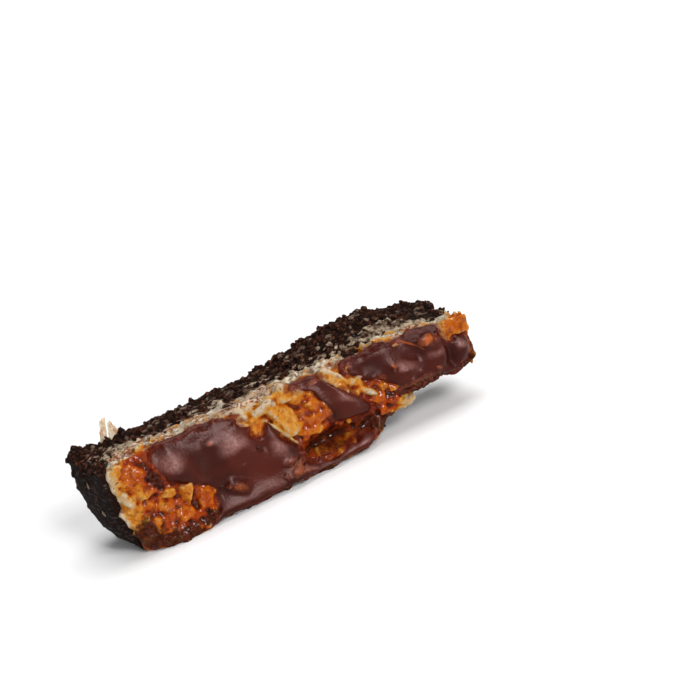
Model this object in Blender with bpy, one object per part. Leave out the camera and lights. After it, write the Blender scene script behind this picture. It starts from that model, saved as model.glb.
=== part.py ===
"""A chocolate macaroon bar, lying on its long side.

A finger of dark chocolate brownie carries a layer of coconut macaroon, and chocolate was poured over the
toasted coconut in three pools. The bar lies on one long side: the poured face looks along -Y, the brownie
base along +Y, and the long side that was cut with a knife looks up.

Every shape below is worked out on the bar itself, in millimetres: x runs from the baked left end to the
broken right end, y from the poured face back to the brownie base, and z up from the side it lies on.
The last step moves the finished bar so that the origin is under the middle of its box.
"""

import math
import random

import bmesh
import bpy
from mathutils import Euler, Matrix, Vector, noise
from mathutils.bvhtree import BVHTree

MM = 0.001

# ---------------------------------------------------------------- driving dimensions, in millimetres
BAR_LENGTH = 108.0  # baked end to broken end
BAR_DEPTH = 28.0  # poured face to brownie base
BAR_HEIGHT = 27.0  # resting side to knife-cut side, at the baked end
END_DROP = 2.2  # how much lower the cut side is at the broken end
CUT_TWIST = 2.2  # how far the cut side's back edge climbs from one end to the other
BAKED_END_BULGE = 2.6  # how far the baked end swells out, behind the coconut
COCONUT_DEPTH = 13.0  # coconut layer on the cut side, at the baked end
COCONUT_THINNING = 4.0  # how much thinner it is at the broken end
POOL_THICKNESS = 1.5  # chocolate in the middle of a pool
POOL_WRAP = 1.0  # how far a pool reaches back over the poured face's rounded edges
POOL_EDGE = 0.7  # chocolate at a pool's broken edge
GAP = 0.3  # between the pieces, which touch in the real bar

# the lower corner of the broken end is missing
BREAK_START = 69.0
BREAK_END = 89.0
BREAK_RISE = 9.4

# rounding of the four long edges, and of the two ends
FRONT_TOP_ROUND = 2.4
FRONT_BOTTOM_ROUND = 4.5
FOOT_ROUND = 1.2  # the same edge below the baked end, where the coconut has slumped
FOOT_END = 27.0
BACK_TOP_ROUND = 1.3
BACK_BOTTOM_ROUND = 6.0
BAKED_END_ROUND = 10.0
BROKEN_END_ROUND = 2.2
END_REACH = 12.0  # length over which an end's rounding fades into the long edges'

# grid of the bar's form: cells along x, y and z
FORM_CELLS = (44, 8, 11)
PARTING_CELLS = (30, 1, 8)
RESTING_CUT = 0.45  # how much of the rounded resting side is levelled off

# (x, z, reach along x, reach along z, height) of the swells and hollows of the poured face
FACE_SWELLS = (
    (21.0, 20.0, 8.0, 7.0, 1.1),
    (36.0, 19.0, 8.0, 7.0, 1.2),
    (47.0, 12.0, 5.0, 8.0, 0.9),
    (48.0, 2.0, 26.0, 2.6, 1.4),
    (54.0, 18.0, 5.0, 6.0, -1.6),
    (66.0, 8.0, 11.0, 3.2, -3.4),
    (68.0, 19.0, 6.0, 7.0, 1.2),
    (75.0, 20.0, 3.0, 5.0, -1.2),
    (83.0, 21.0, 6.0, 5.0, 1.1),
    (99.0, 19.0, 7.0, 6.0, 1.2),
    (20.0, 9.0, 8.0, 3.0, -0.8),
    (17.0, 2.0, 8.0, 4.5, 2.0),
)

# (x, y, reach along x, reach along y, height) of the swells and hollows of the knife-cut side
CUT_SWELLS = (
    (80.0, 26.0, 15.0, 9.0, 3.9),
    (77.0, 8.0, 4.0, 5.0, -1.2),
    (24.0, 16.0, 12.0, 4.0, -0.6),
    (-1.0, 24.0, 5.0, 8.0, 2.0),
    (109.0, 12.0, 11.0, 14.0, -2.8),
)

# outlines of the chocolate pools on the poured face, as (x, z) points of one smooth loop each
POOL_OUTLINES = {
    "chocolate_pool_left": (
        (14.6, 26.2), (22.7, 26.4), (34.9, 25.8), (41.0, 22.2), (43.2, 16.9), (46.0, 20.4), (49.5, 14.6),
        (52.8, 9.8), (52.6, 5.6), (66.0, 4.2), (74.2, 5.0), (66.0, -1.0), (24.0, -1.0), (25.0, 3.8),
        (26.2, 8.6), (21.0, 13.2), (15.6, 17.0), (13.2, 22.4),
    ),
    "chocolate_pool_middle": (
        (55.2, 26.6), (63.4, 25.4), (69.6, 19.9), (73.2, 14.6), (75.2, 10.7), (69.6, 10.0), (65.2, 13.4),
        (61.6, 18.4), (59.4, 22.8),
    ),
    "chocolate_pool_right": (
        (70.9, 25.6), (78.0, 26.0), (88.6, 24.9), (95.2, 25.6), (99.6, 24.0), (102.2, 19.8), (105.6, 19.8),
        (107.8, 17.0), (105.6, 11.2), (94.0, 10.9), (84.6, 12.2), (80.6, 16.2), (75.0, 18.8), (70.8, 22.2),
    ),
}

# coconut on the coconut layer, and crumbs and coconut on the brownie
SHRED_SIZE = (3.2, 0.95, 0.7)  # half length, width and thickness
CHUNK_SIZE = (2.3, 1.5, 1.2)
CRUMB_SIZE = (1.1, 0.9, 0.8)
FACE_CHUNKS = 32
CUT_SHREDS = 20
END_SHREDS = 6
BROWNIE_SHREDS = 9
BROWNIE_CRUMBS = 18
CLEARANCE = 0.45  # kept between such a piece and the next layer
COCONUT_LUMPS = (  # place, size and spin of the lumps that show most
    ((105.2, 0.6, 22.4), (3.4, 1.7, 2.3), 0.1),
    ((83.6, 3.5, 8.2), (2.9, 1.9, 1.8), 0.4),
)
BROWNIE_LUMPS = (
    ((0.8, 22.6, 27.0), (2.3, 2.1, 1.3), 0.5),
    ((-1.9, 22.0, 22.4), (1.5, 1.5, 1.2), 0.0),
    ((86.4, 15.5, 9.0), (2.0, 1.7, 1.8), 0.9),
)
SHARDS = (  # foot, width, height above the cut side, and spin
    ((9.6, 20.5), 3.2, 6.2, -0.35),
    ((12.8, 21.6), 2.4, 3.4, 0.5),
)
SEED = 11

BROWNIE_COLOUR = (0.030, 0.013, 0.008, 1.0)
COCONUT_COLOUR = (0.62, 0.40, 0.17, 1.0)
CHOCOLATE_COLOUR = (0.095, 0.030, 0.022, 1.0)


# ---------------------------------------------------------------- scene, materials and small helpers
def clear_scene():
    for found in list(bpy.data.objects):
        bpy.data.objects.remove(found)


def collection(name):
    made = bpy.data.collections.new(name)
    bpy.context.scene.collection.children.link(made)
    return made


def material(name, colour, roughness):
    made = bpy.data.materials.new(name)
    made.use_nodes = True
    shader = made.node_tree.nodes["Principled BSDF"]
    shader.inputs["Base Color"].default_value = colour
    shader.inputs["Roughness"].default_value = roughness
    shader.inputs["Metallic"].default_value = 0.0
    return made


def blend(low, high, value):
    """0 below low, 1 above high, and a smooth step between them."""
    share = min(1.0, max(0.0, (value - low) / (high - low)))
    return share * share * (3.0 - 2.0 * share)


def mix(first, second, share):
    return first + (second - first) * share


def bell(value, middle, reach):
    return math.exp(-(((value - middle) / reach) ** 2))


def wobble(x, y, z, size, salt=0.0):
    """Smooth noise from -1 to 1 whose lumps are about size millimetres across."""
    return noise.noise(Vector((x / size + salt, y / size - salt, z / size + 2.0 * salt)))


def object_from(mesh_maker, name, group):
    """A new object from a bmesh. Triangles keep the later Booleans exact, as bent quads do not."""
    bmesh.ops.triangulate(mesh_maker, faces=mesh_maker.faces)
    mesh = bpy.data.meshes.new(name)
    mesh_maker.to_mesh(mesh)
    mesh_maker.free()
    made = bpy.data.objects.new(name, mesh)
    group.objects.link(made)
    return made


def grid_block(cells):
    """A unit cube, from 0 to 1 on each axis, with its sides cut into that many cells."""
    block = bmesh.new()
    bmesh.ops.create_cube(block, size=1.0)
    bmesh.ops.translate(block, verts=block.verts, vec=(0.5, 0.5, 0.5))
    for axis, count in enumerate(cells):
        along = [e for e in block.edges if abs((e.verts[0].co - e.verts[1].co)[axis]) > 0.5]
        if count > 1:
            bmesh.ops.subdivide_edges(block, edges=along, cuts=count - 1, use_grid_fill=True)
    return block


# ---------------------------------------------------------------- the bar's form
def edge_rounding(x, depth_share, height_share):
    """Radius of the rounding near a point of the bar, blended from the four long edges and the two ends."""
    back = blend(0.25, 0.75, depth_share)
    top = blend(0.25, 0.75, height_share)
    front_low = mix(FOOT_ROUND, FRONT_BOTTOM_ROUND, blend(FOOT_END - 4.0, FOOT_END, x))
    low = mix(front_low, BACK_BOTTOM_ROUND, back)
    high = mix(FRONT_TOP_ROUND, BACK_TOP_ROUND, back)
    along = mix(low, high, top)
    baked = mix(BAKED_END_ROUND, BACK_TOP_ROUND, top)
    radius = mix(baked, along, blend(0.0, END_REACH, x))
    return mix(radius, BROKEN_END_ROUND, blend(BAR_LENGTH - END_REACH, BAR_LENGTH, x))


def rounded(x, y, z):
    """A point of the box's surface, moved onto the box with rounded edges."""
    size = (BAR_LENGTH, BAR_DEPTH, BAR_HEIGHT)
    radius = edge_rounding(x, y / BAR_DEPTH, z / BAR_HEIGHT)
    point = Vector((x, y, z))
    inner = Vector([min(max(c, radius), s - radius) for c, s in zip(point, size)])
    out = point - inner
    return inner + out.normalized() * radius if out.length > 1e-6 else point


def lowest(x, y):
    """Height of the bar's lower side: level, then climbing where the corner is missing."""
    rise = blend(BREAK_START, BREAK_END, x + 0.12 * y)
    ragged = 0.9 * wobble(x, y, 0.0, 5.0, salt=3.1) * rise
    return BREAK_RISE * rise + ragged + 1.2 * blend(BREAK_END, BAR_LENGTH, x)


def highest(x, y):
    """Height of the knife-cut side, which drops a little and twists from one end to the other."""
    along = x / BAR_LENGTH
    return BAR_HEIGHT - END_DROP * along + CUT_TWIST * (along - 0.38) * (y / BAR_DEPTH)


def cut_swell(x, y):
    """How far the knife-cut side stands up at this place."""
    return sum(h * bell(x, cx, rx) * bell(y, cy, ry) for cx, cy, rx, ry, h in CUT_SWELLS)


def face_swell(x, z):
    """How far the poured face stands forward at this place."""
    return sum(h * bell(x, cx, rx) * bell(z, cz, rz) for cx, cz, rx, rz, h in FACE_SWELLS)


def form_point(x, y, z):
    """A point of the plain box, moved onto the bar."""
    front = 1.0 - blend(0.0, 7.0, y)
    p = rounded(x, y, z)
    share = p.z / BAR_HEIGHT
    p.z = mix(lowest(p.x, p.y), highest(p.x, p.y), share) + cut_swell(p.x, p.y) * share * share
    p.y -= face_swell(p.x, p.z) * front
    baked = 1.0 - blend(0.0, 5.0, p.x)
    p.x -= baked * BAKED_END_BULGE * bell(p.y, 20.0, 13.0) * bell(p.z, 19.0, 14.0)
    broken = blend(BAR_LENGTH - 4.0, BAR_LENGTH, p.x)
    p.x += broken * 1.2 * wobble(0.0, p.y, p.z, 6.0, salt=7.7)
    return p


def roughness_height(p, normal):
    """Relief of the finished skin: crumbly where cut or broken, lumpy in front, smooth where baked."""
    cut = max(normal.z, 0.0) ** 2 + blend(BAR_LENGTH - 6.0, BAR_LENGTH, p.x)
    face = max(-normal.y, 0.0) ** 2
    crumb = 0.55 * wobble(p.x, p.y, p.z, 2.6, salt=1.3) + 0.35 * wobble(p.x, p.y, p.z, 6.0, salt=5.0)
    lumps = 0.5 * wobble(p.x, p.y, p.z, 4.2, salt=2.2)
    skin = 0.30 * wobble(p.x, p.y, p.z, 9.0, salt=4.4) * (1.0 - max(-normal.z, 0.0))
    return cut * crumb + face * lumps + skin


def bar_form(grow=None):
    """The whole bar's outer form. grow(point) says how far a point of the skin is moved outwards."""
    form = grid_block(FORM_CELLS)
    for v in form.verts:
        v.co = form_point(v.co.x * BAR_LENGTH, v.co.y * BAR_DEPTH, v.co.z * BAR_HEIGHT)
    form.normal_update()
    normals = {v: v.normal.copy() for v in form.verts}
    for v in form.verts:
        height = roughness_height(v.co, normals[v])
        height += grow(v.co) if grow else 0.0
        v.co += normals[v] * height
    bmesh.ops.translate(form, verts=form.verts, vec=(0.0, 0.0, -RESTING_CUT))
    bmesh.ops.scale(form, verts=form.verts, vec=(MM, MM, MM))
    bmesh.ops.recalc_face_normals(form, faces=form.faces)
    return form


def parting(x, z):
    """Depth at which brownie and coconut meet. The brownie wraps round the baked end and the resting side."""
    end_wrap = 18.0 * bell(max(x, 0.5), 0.5, 4.4)
    rest_wrap = 6.5 * bell(z, 0.0, 5.0)
    wave = 1.3 * wobble(x, 0.0, z, 12.0, salt=6.6) + 0.7 * wobble(x, 0.0, z, 5.0, salt=8.8)
    thinning = COCONUT_THINNING * blend(35.0, 70.0, x)
    return COCONUT_DEPTH - thinning - max(end_wrap, rest_wrap) + wave


def parting_slab(name, group, front):
    """The space in front of the parting, or behind it, as a cutter."""
    margin = 8.0
    slab = grid_block(PARTING_CELLS)
    for v in slab.verts:
        x = mix(-margin, BAR_LENGTH + margin, v.co.x)
        z = mix(-margin, BAR_HEIGHT + margin, v.co.z)
        seam = parting(x, z) + (-GAP if front else GAP) / 2.0
        far = -margin if front else BAR_DEPTH + margin
        y = mix(far, seam, v.co.y) if front else mix(seam, far, v.co.y)
        v.co = Vector((x, y, z)) * MM
    bmesh.ops.recalc_face_normals(slab, faces=slab.faces)
    return object_from(slab, name, group)


def block_between(name, group, low, high):
    """A plain box from one corner to the other, as a cutter."""
    block = grid_block((1, 1, 1))
    for v in block.verts:
        v.co = Vector([mix(a, b, c) for a, b, c in zip(low, high, v.co)]) * MM
    return object_from(block, name, group)


def boolean(target, operation, other, solver="EXACT"):
    step = target.modifiers.new(operation.lower(), "BOOLEAN")
    step.operation = operation
    step.solver = solver
    if isinstance(other, bpy.types.Collection):
        step.operand_type = "COLLECTION"
        step.collection = other
    else:
        step.object = other


def settle(target):
    """Applies the modifiers, and keeps the one body that is left, without scraps or sealed hollows."""
    graph = bpy.context.evaluated_depsgraph_get()
    mesh = bpy.data.meshes.new_from_object(target.evaluated_get(graph))
    target.modifiers.clear()
    target.data = mesh
    whole = bmesh.new()
    whole.from_mesh(mesh)
    bmesh.ops.remove_doubles(whole, verts=whole.verts, dist=0.004 * MM)
    left = set(whole.verts)
    islands = []
    while left:
        queue = [left.pop()]
        island = set(queue)
        while queue:
            for edge in queue.pop().link_edges:
                for v in edge.verts:
                    if v in left:
                        left.discard(v)
                        island.add(v)
                        queue.append(v)
        islands.append(island)
    body = max(islands, key=len)
    loose = [v for island in islands if island is not body for v in island]
    bmesh.ops.delete(whole, geom=loose, context="VERTS")
    bmesh.ops.triangulate(whole, faces=whole.faces)
    whole.to_mesh(mesh)
    whole.free()


# ---------------------------------------------------------------- coconut and crumbs
def nugget(draw, size):
    """A coconut shred, a chunk or a crumb: a small sphere, stretched, bent and dented."""
    piece = bmesh.new()
    bmesh.ops.create_uvsphere(piece, u_segments=5, v_segments=4, radius=1.0)
    bmesh.ops.rotate(piece, verts=piece.verts, matrix=Matrix.Rotation(math.pi / 2, 3, "Y"))
    bend = draw.uniform(-0.25, 0.25)
    for v in piece.verts:
        v.co *= draw.uniform(0.88, 1.12)
        v.co.y += bend * v.co.x * v.co.x
        v.co = Vector([c * s for c, s in zip(v.co, size)])
    return piece


def set_down(piece, place, normal, spin, lean, sink):
    """Lays a piece on the skin at place, turned by spin, tipped by lean and sunk in a little."""
    lie = normal.to_track_quat("Z", "X").to_matrix()
    turn = lie @ Euler((0.0, lean, spin)).to_matrix()
    bmesh.ops.rotate(piece, verts=piece.verts, matrix=turn)
    bmesh.ops.translate(piece, verts=piece.verts, vec=place / MM - normal * sink)
    bmesh.ops.scale(piece, verts=piece.verts, vec=(MM, MM, MM))


def tree_of(target):
    graph = bpy.context.evaluated_depsgraph_get()
    return BVHTree.FromObject(target, graph)


def clear_of(piece, neighbours):
    """True if the piece crosses no neighbouring solid, and its corners stay the clearance away from them."""
    own = BVHTree.FromBMesh(piece)
    for tree in neighbours:
        if own.overlap(tree):
            return False
        if any(tree.find_nearest(v.co, CLEARANCE * MM)[0] is not None for v in piece.verts):
            return False
    return True


class Scatter:
    """Lays small pieces on one solid's skin, clear of its neighbours, for a later union."""

    def __init__(self, carrier, neighbours, group, draw):
        self.skin = tree_of(carrier)
        self.neighbours = [tree_of(n) for n in neighbours]
        self.group = group
        self.draw = draw
        self.taken = []

    def lay(self, name, count, size, aim, along=None, apart=3.0, sink=0.35, floor=0.6):
        """aim() gives a start and a direction in millimetres, and the skin that it hits takes the piece."""
        made = tries = 0
        while made < count and tries < count * 12:
            tries += 1
            start, way = aim()
            place, normal, _, _ = self.skin.ray_cast(Vector(start) * MM, Vector(way))
            if place is None or any((place - t).length < apart * MM for t in self.taken):
                continue
            scale = self.draw.uniform(0.7, 1.25)
            spin = along(self.draw) if along else self.draw.uniform(0.0, math.tau)
            piece = nugget(self.draw, [s * scale for s in size])
            set_down(piece, place, normal, spin, self.draw.uniform(-0.3, 0.3), sink * size[2])
            if min(v.co.z for v in piece.verts) < floor * MM or not clear_of(piece, self.neighbours):
                piece.free()
                continue
            object_from(piece, f"{name}_{made:03d}", self.group)
            self.taken.append(place)
            made += 1
        return made


def lump(draw, name, group, place, size, spin):
    """One of the lumps that show most, such as the toasted flake at the broken end."""
    piece = bmesh.new()
    bmesh.ops.create_uvsphere(piece, u_segments=8, v_segments=6, radius=1.0)
    for v in piece.verts:
        v.co *= draw.uniform(0.9, 1.1)
        v.co = Vector([c * s for c, s in zip(v.co, size)])
        v.co.y -= 0.05 * v.co.x * v.co.x
    bmesh.ops.rotate(piece, verts=piece.verts, matrix=Euler((0.1, -0.1, spin)).to_matrix())
    bmesh.ops.translate(piece, verts=piece.verts, vec=place)
    bmesh.ops.scale(piece, verts=piece.verts, vec=(MM, MM, MM))
    return object_from(piece, name, group)


def coconut_shard(name, group, foot, width, height, spin):
    """A clear sliver of coconut that stands up from the cut side by the baked end."""
    shard = grid_block((2, 1, 4))
    buried = 3.0
    for v in shard.verts:
        across, up = v.co.x - 0.5, v.co.z
        v.co.x = across * mix(width, 0.7 * width, up)
        v.co.y = 0.9 * v.co.y + 0.5 * up * up
        v.co.z = (buried + height) * up + 0.8 * across
    bmesh.ops.rotate(shard, verts=shard.verts, matrix=Matrix.Rotation(spin, 3, "Z"))
    bmesh.ops.translate(shard, verts=shard.verts, vec=(*foot, BAR_HEIGHT - RESTING_CUT - buried))
    bmesh.ops.scale(shard, verts=shard.verts, vec=(MM, MM, MM))
    return object_from(shard, name, group)


# ---------------------------------------------------------------- chocolate pools
def pool_growth(outline):
    """Thickness of one pool's chocolate at a point: thin at its edge, full inside."""
    corners = [Vector(p) for p in outline]

    def grow(p):
        here = Vector((p.x, p.z))
        nearest = min((here - c).length for c in corners)
        middle = blend(0.5, 5.0, nearest)
        dimple = 0.35 * wobble(p.x, p.y, p.z, 7.0, salt=9.9)
        return GAP + mix(POOL_EDGE, POOL_THICKNESS + dimple, middle)

    return grow


def outline_prism(name, outline, group):
    """A pool's outline, drawn as one smooth closed curve and carried through the poured face."""
    curve = bpy.data.curves.new(name, "CURVE")
    curve.dimensions = "2D"
    curve.fill_mode = "BOTH"
    curve.extrude = 6.0 * MM
    curve.resolution_u = 3
    loop = curve.splines.new("BEZIER")
    loop.use_cyclic_u = True
    loop.bezier_points.add(len(outline) - 1)
    for point, (x, z) in zip(loop.bezier_points, outline):
        point.co = Vector((x, z, 0.0)) * MM
        point.handle_left_type = point.handle_right_type = "AUTO"
    drawn = bpy.data.objects.new(name + "_line", curve)
    group.objects.link(drawn)
    drawn.rotation_euler = (math.pi / 2, 0.0, 0.0)
    drawn.location.y = POOL_WRAP * MM - curve.extrude
    bpy.context.view_layer.update()
    graph = bpy.context.evaluated_depsgraph_get()
    mesh = bpy.data.meshes.new_from_object(drawn.evaluated_get(graph))
    mesh.transform(drawn.matrix_world)
    bpy.data.objects.remove(drawn)
    solid = bmesh.new()
    solid.from_mesh(mesh)
    bmesh.ops.remove_doubles(solid, verts=solid.verts, dist=0.001 * MM)
    bmesh.ops.recalc_face_normals(solid, faces=solid.faces)
    return object_from(solid, name, group)


def chocolate_pool(name, outline, parts, cutters, under, floor):
    """One pool: a thicker skin of the bar, kept inside its outline and emptied of the bar itself."""
    skin = bar_form(grow=pool_growth(outline))
    pool = object_from(skin, name, parts)
    boolean(pool, "INTERSECT", outline_prism(name + "_outline", outline, cutters))
    boolean(pool, "DIFFERENCE", under)
    boolean(pool, "DIFFERENCE", floor)
    settle(pool)
    return pool


# ---------------------------------------------------------------- the bar
def build():
    clear_scene()
    parts = collection("chocolate_macaroon_bar")
    cutters = collection("cutters")
    draw = random.Random(SEED)

    brownie_finish = material("brownie", BROWNIE_COLOUR, 0.85)
    coconut_finish = material("toasted_coconut", COCONUT_COLOUR, 0.45)
    chocolate_finish = material("poured_chocolate", CHOCOLATE_COLOUR, 0.38)

    reach = 20.0
    floor = block_between(
        "floor", cutters, (-reach, -reach, -reach), (BAR_LENGTH + reach, BAR_DEPTH + reach, 0.0)
    )
    pool_floor = block_between(
        "pool_floor", cutters, (-reach, -reach, -reach), (BAR_LENGTH + reach, BAR_DEPTH + reach, 0.5)
    )
    under_pools = object_from(bar_form(grow=lambda p: GAP), "under_pools", cutters)

    layers = {}
    for name, front in (("coconut_layer", True), ("brownie_base", False)):
        layer = object_from(bar_form(), name, parts)
        boolean(layer, "INTERSECT", parting_slab(name + "_side", cutters, front))
        boolean(layer, "DIFFERENCE", floor)
        settle(layer)
        layers[name] = layer
    coconut, brownie = layers["coconut_layer"], layers["brownie_base"]

    pools = [
        chocolate_pool(name, outline, parts, cutters, under_pools, pool_floor)
        for name, outline in POOL_OUTLINES.items()
    ]

    # coconut that shows on the coconut layer: chunks on the poured face, shreds on the cut and broken sides
    shreds = collection("coconut_relief")
    on_coconut = Scatter(coconut, [brownie, *pools], shreds, draw)
    lengthwise = lambda d: d.gauss(0.0, 0.5)
    on_coconut.lay(
        "chunk",
        FACE_CHUNKS,
        CHUNK_SIZE,
        lambda: ((draw.uniform(2.0, 106.0), -reach, draw.uniform(2.0, 25.0)), (0.0, 1.0, 0.0)),
    )
    on_coconut.lay(
        "cut_shred",
        CUT_SHREDS,
        SHRED_SIZE,
        lambda: ((draw.uniform(2.0, 106.0), draw.uniform(1.5, 12.0), 60.0), (0.0, 0.0, -1.0)),
        along=lengthwise,
    )
    on_coconut.lay(
        "end_shred",
        END_SHREDS,
        SHRED_SIZE,
        lambda: ((BAR_LENGTH + reach, draw.uniform(2.0, 11.0), draw.uniform(14.0, 25.0)), (-1.0, 0.0, 0.0)),
    )
    for number, (place, size, spin) in enumerate(COCONUT_LUMPS):
        lump(draw, f"coconut_lump_{number}", shreds, place, size, spin)

    # crumbs and shreds on the brownie's cut side and broken end
    crumbs = collection("brownie_relief")
    on_brownie = Scatter(brownie, [coconut, *pools], crumbs, draw)
    on_brownie.lay(
        "crumb",
        BROWNIE_CRUMBS,
        CRUMB_SIZE,
        lambda: ((draw.uniform(0.5, 107.0), draw.uniform(13.0, 28.0), 60.0), (0.0, 0.0, -1.0)),
    )
    on_brownie.lay(
        "brownie_shred",
        BROWNIE_SHREDS,
        SHRED_SIZE,
        lambda: ((draw.uniform(4.0, 104.0), draw.uniform(14.0, 24.0), 60.0), (0.0, 0.0, -1.0)),
        along=lengthwise,
    )
    for number, (place, size, spin) in enumerate(BROWNIE_LUMPS):
        lump(draw, f"brownie_lump_{number}", crumbs, place, size, spin)
    for number, (foot, width, height, spin) in enumerate(SHARDS):
        coconut_shard(f"shard_{number}", crumbs, foot, width, height, spin)

    for layer, relief in ((coconut, shreds), (brownie, crumbs)):
        boolean(layer, "UNION", relief)
        settle(layer)
        for piece in list(relief.objects):
            bpy.data.objects.remove(piece)
        bpy.data.collections.remove(relief)

    for piece in list(cutters.objects):
        bpy.data.objects.remove(piece)

    finishes = {coconut: coconut_finish, brownie: brownie_finish}
    finishes.update({pool: chocolate_finish for pool in pools})
    for piece, finish in finishes.items():
        piece.data.materials.clear()
        piece.data.materials.append(finish)
        piece.data.shade_smooth()
        piece.data.set_sharp_from_angle(angle=math.radians(40.0))
    stand(list(finishes))


def stand(pieces):
    """Moves the bar so that the origin lies under the middle of its box."""
    corners = [v.co for piece in pieces for v in piece.data.vertices]
    low = Vector([min(c[i] for c in corners) for i in range(3)])
    high = Vector([max(c[i] for c in corners) for i in range(3)])
    middle = (low + high) / 2.0
    bar = bpy.data.objects.new("bar", None)
    bpy.context.scene.collection.objects.link(bar)
    bar.location = (-middle.x, -middle.y, -low.z)
    for piece in pieces:
        piece.parent = bar


build()
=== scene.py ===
# %% [markdown]
# # A chocolate macaroon bar
#
# The real bar is a finger cut from a tray bake. It has a crumbly dark brownie base, a layer of sticky
# coconut macaroon that browned in the oven, and chocolate that was poured over the coconut in three pools.
# It lies on one long side, so the poured face looks at us and the knife-cut side looks up.
#
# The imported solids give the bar's size and main forms. This lesson dresses them: each solid is copied, given
# the lumps, shreds and crumbs that it has in real life, and gets a material of its own.

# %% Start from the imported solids
import math
import random

import bmesh
import bpy
import numpy as np
from mathutils import Euler, Matrix, Vector, noise
from mathutils.bvhtree import BVHTree


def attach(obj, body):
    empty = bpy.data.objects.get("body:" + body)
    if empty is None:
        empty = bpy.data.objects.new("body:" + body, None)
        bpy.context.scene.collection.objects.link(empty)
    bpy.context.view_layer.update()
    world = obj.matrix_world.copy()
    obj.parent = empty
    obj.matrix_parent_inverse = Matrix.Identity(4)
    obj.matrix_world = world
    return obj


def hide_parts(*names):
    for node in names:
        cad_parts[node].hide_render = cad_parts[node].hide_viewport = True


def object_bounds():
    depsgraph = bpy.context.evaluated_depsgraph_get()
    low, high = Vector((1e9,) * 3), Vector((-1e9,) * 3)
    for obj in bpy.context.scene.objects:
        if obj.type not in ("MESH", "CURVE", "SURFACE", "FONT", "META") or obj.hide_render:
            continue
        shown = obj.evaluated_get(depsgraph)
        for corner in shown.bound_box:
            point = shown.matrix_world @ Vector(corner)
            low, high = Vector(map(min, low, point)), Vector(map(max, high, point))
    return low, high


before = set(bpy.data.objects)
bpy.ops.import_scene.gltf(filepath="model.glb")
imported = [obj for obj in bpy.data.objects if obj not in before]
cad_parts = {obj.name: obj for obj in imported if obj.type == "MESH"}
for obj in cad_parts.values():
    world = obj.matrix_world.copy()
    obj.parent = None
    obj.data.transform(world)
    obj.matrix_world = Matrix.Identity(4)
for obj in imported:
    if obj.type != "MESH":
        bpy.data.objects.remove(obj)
cad_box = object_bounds()
print("solids:", ", ".join(sorted(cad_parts)))

# %% [markdown]
# ## Measuring on the bar
#
# A baker would measure this bar from its baked end, from the poured face and from the side it lies on. All
# places in this lesson are such measures in millimetres: x along the bar, y back from the poured face, and
# z up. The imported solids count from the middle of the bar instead, in metres, so two small helpers turn one
# into the other.

# %% From the bar's own measures to Blender's
MM = 0.001
BAR_MIDDLE = Vector((53.2, 12.54, 0.0))


def to_world(x, y, z):
    return (Vector((x, y, z)) - BAR_MIDDLE) * MM


def on_bar(points):
    """World coordinates as rows of the bar's own measures, in millimetres."""
    return points / MM + np.array(BAR_MIDDLE)


low, high = [corner / MM + BAR_MIDDLE for corner in cad_box]
print("bar, mm:", [round(c, 1) for c in low], "to", [round(c, 1) for c in high])

# %% [markdown]
# ## Noise, bells and steps
#
# Food has no straight lines. Smooth noise gives it lumps of one size, a bell curve gives a swelling at one
# place, and a smooth step fades one finish into the next. They are worked out for all points of a mesh
# together.

# %% Small tools for uneven shapes


def lumps(points, size, salt=0.0):
    """Smooth noise from about -1 to 1, for rows of points in millimetres. Another salt gives other lumps."""
    shift = Vector((salt, 1.7 * salt, -salt))
    return np.array([noise.noise(Vector(p) / size + shift) for p in points])


def bell(distance):
    return np.exp(-(distance**2))


def step(low_end, high_end, value):
    """0 at low_end, 1 at high_end, and a smooth rise between. low_end may be the larger one."""
    share = np.clip((value - low_end) / (high_end - low_end), 0.0, 1.0)
    return share * share * (3.0 - 2.0 * share)


print("a smooth step in quarters:", [round(float(step(0.0, 4.0, quarter)), 2) for quarter in range(5)])

# %% [markdown]
# ## Reading and writing a mesh as arrays
#
# A sculptor pushes many points at once. Here numpy arrays of all coordinates and normals do the same, and
# named attributes carry what a point is made of, such as how toasted it is, to the materials.

# %% Points, normals and attributes


def read(mesh, what):
    source = mesh.vertices if what == "co" else mesh.vertex_normals
    flat = np.empty(len(mesh.vertices) * 3)
    source.foreach_get("co" if what == "co" else "vector", flat)
    return flat.reshape(-1, 3)


def write(mesh, points):
    mesh.vertices.foreach_set("co", points.reshape(-1))
    mesh.update()


def paint(mesh, name, values):
    layer = mesh.attributes.new(name, "FLOAT", "POINT")
    layer.data.foreach_set("value", np.asarray(values, dtype=np.float32))


# %% [markdown]
# Much of what follows compares a point with its neighbours. The mean of the neighbours smooths a surface, and
# the distance from the smoothed surface tells ridges from crevices. A Smooth modifier would do the first, but
# it couldn't measure the second.

# %% Neighbours, ridges and crevices


def neighbours_mean(mesh, values, rounds):
    """Each point's value averaged with its neighbours', a few times over."""
    ends = np.empty(len(mesh.edges) * 2, dtype=np.int64)
    mesh.edges.foreach_get("vertices", ends)
    a, b = ends.reshape(-1, 2).T
    count = np.bincount(a, minlength=len(values)) + np.bincount(b, minlength=len(values))
    out = values.astype(float)
    for _ in range(rounds):
        total = np.stack(
            [
                np.bincount(a, out[b, i], len(out)) + np.bincount(b, out[a, i], len(out))
                for i in range(out.shape[1])
            ],
            axis=1,
        )
        out = total / count[:, None]
    return out


def relief(mesh, rounds):
    """How far each point stands out of the smoothed surface, in millimetres: below 0 in a crevice."""
    points = read(mesh, "co")
    away = points - neighbours_mean(mesh, points, rounds)
    return (away * read(mesh, "normal")).sum(axis=1) / MM


print("points in the coconut's solid:", len(read(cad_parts["coconut_layer"].data, "co")))

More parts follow.
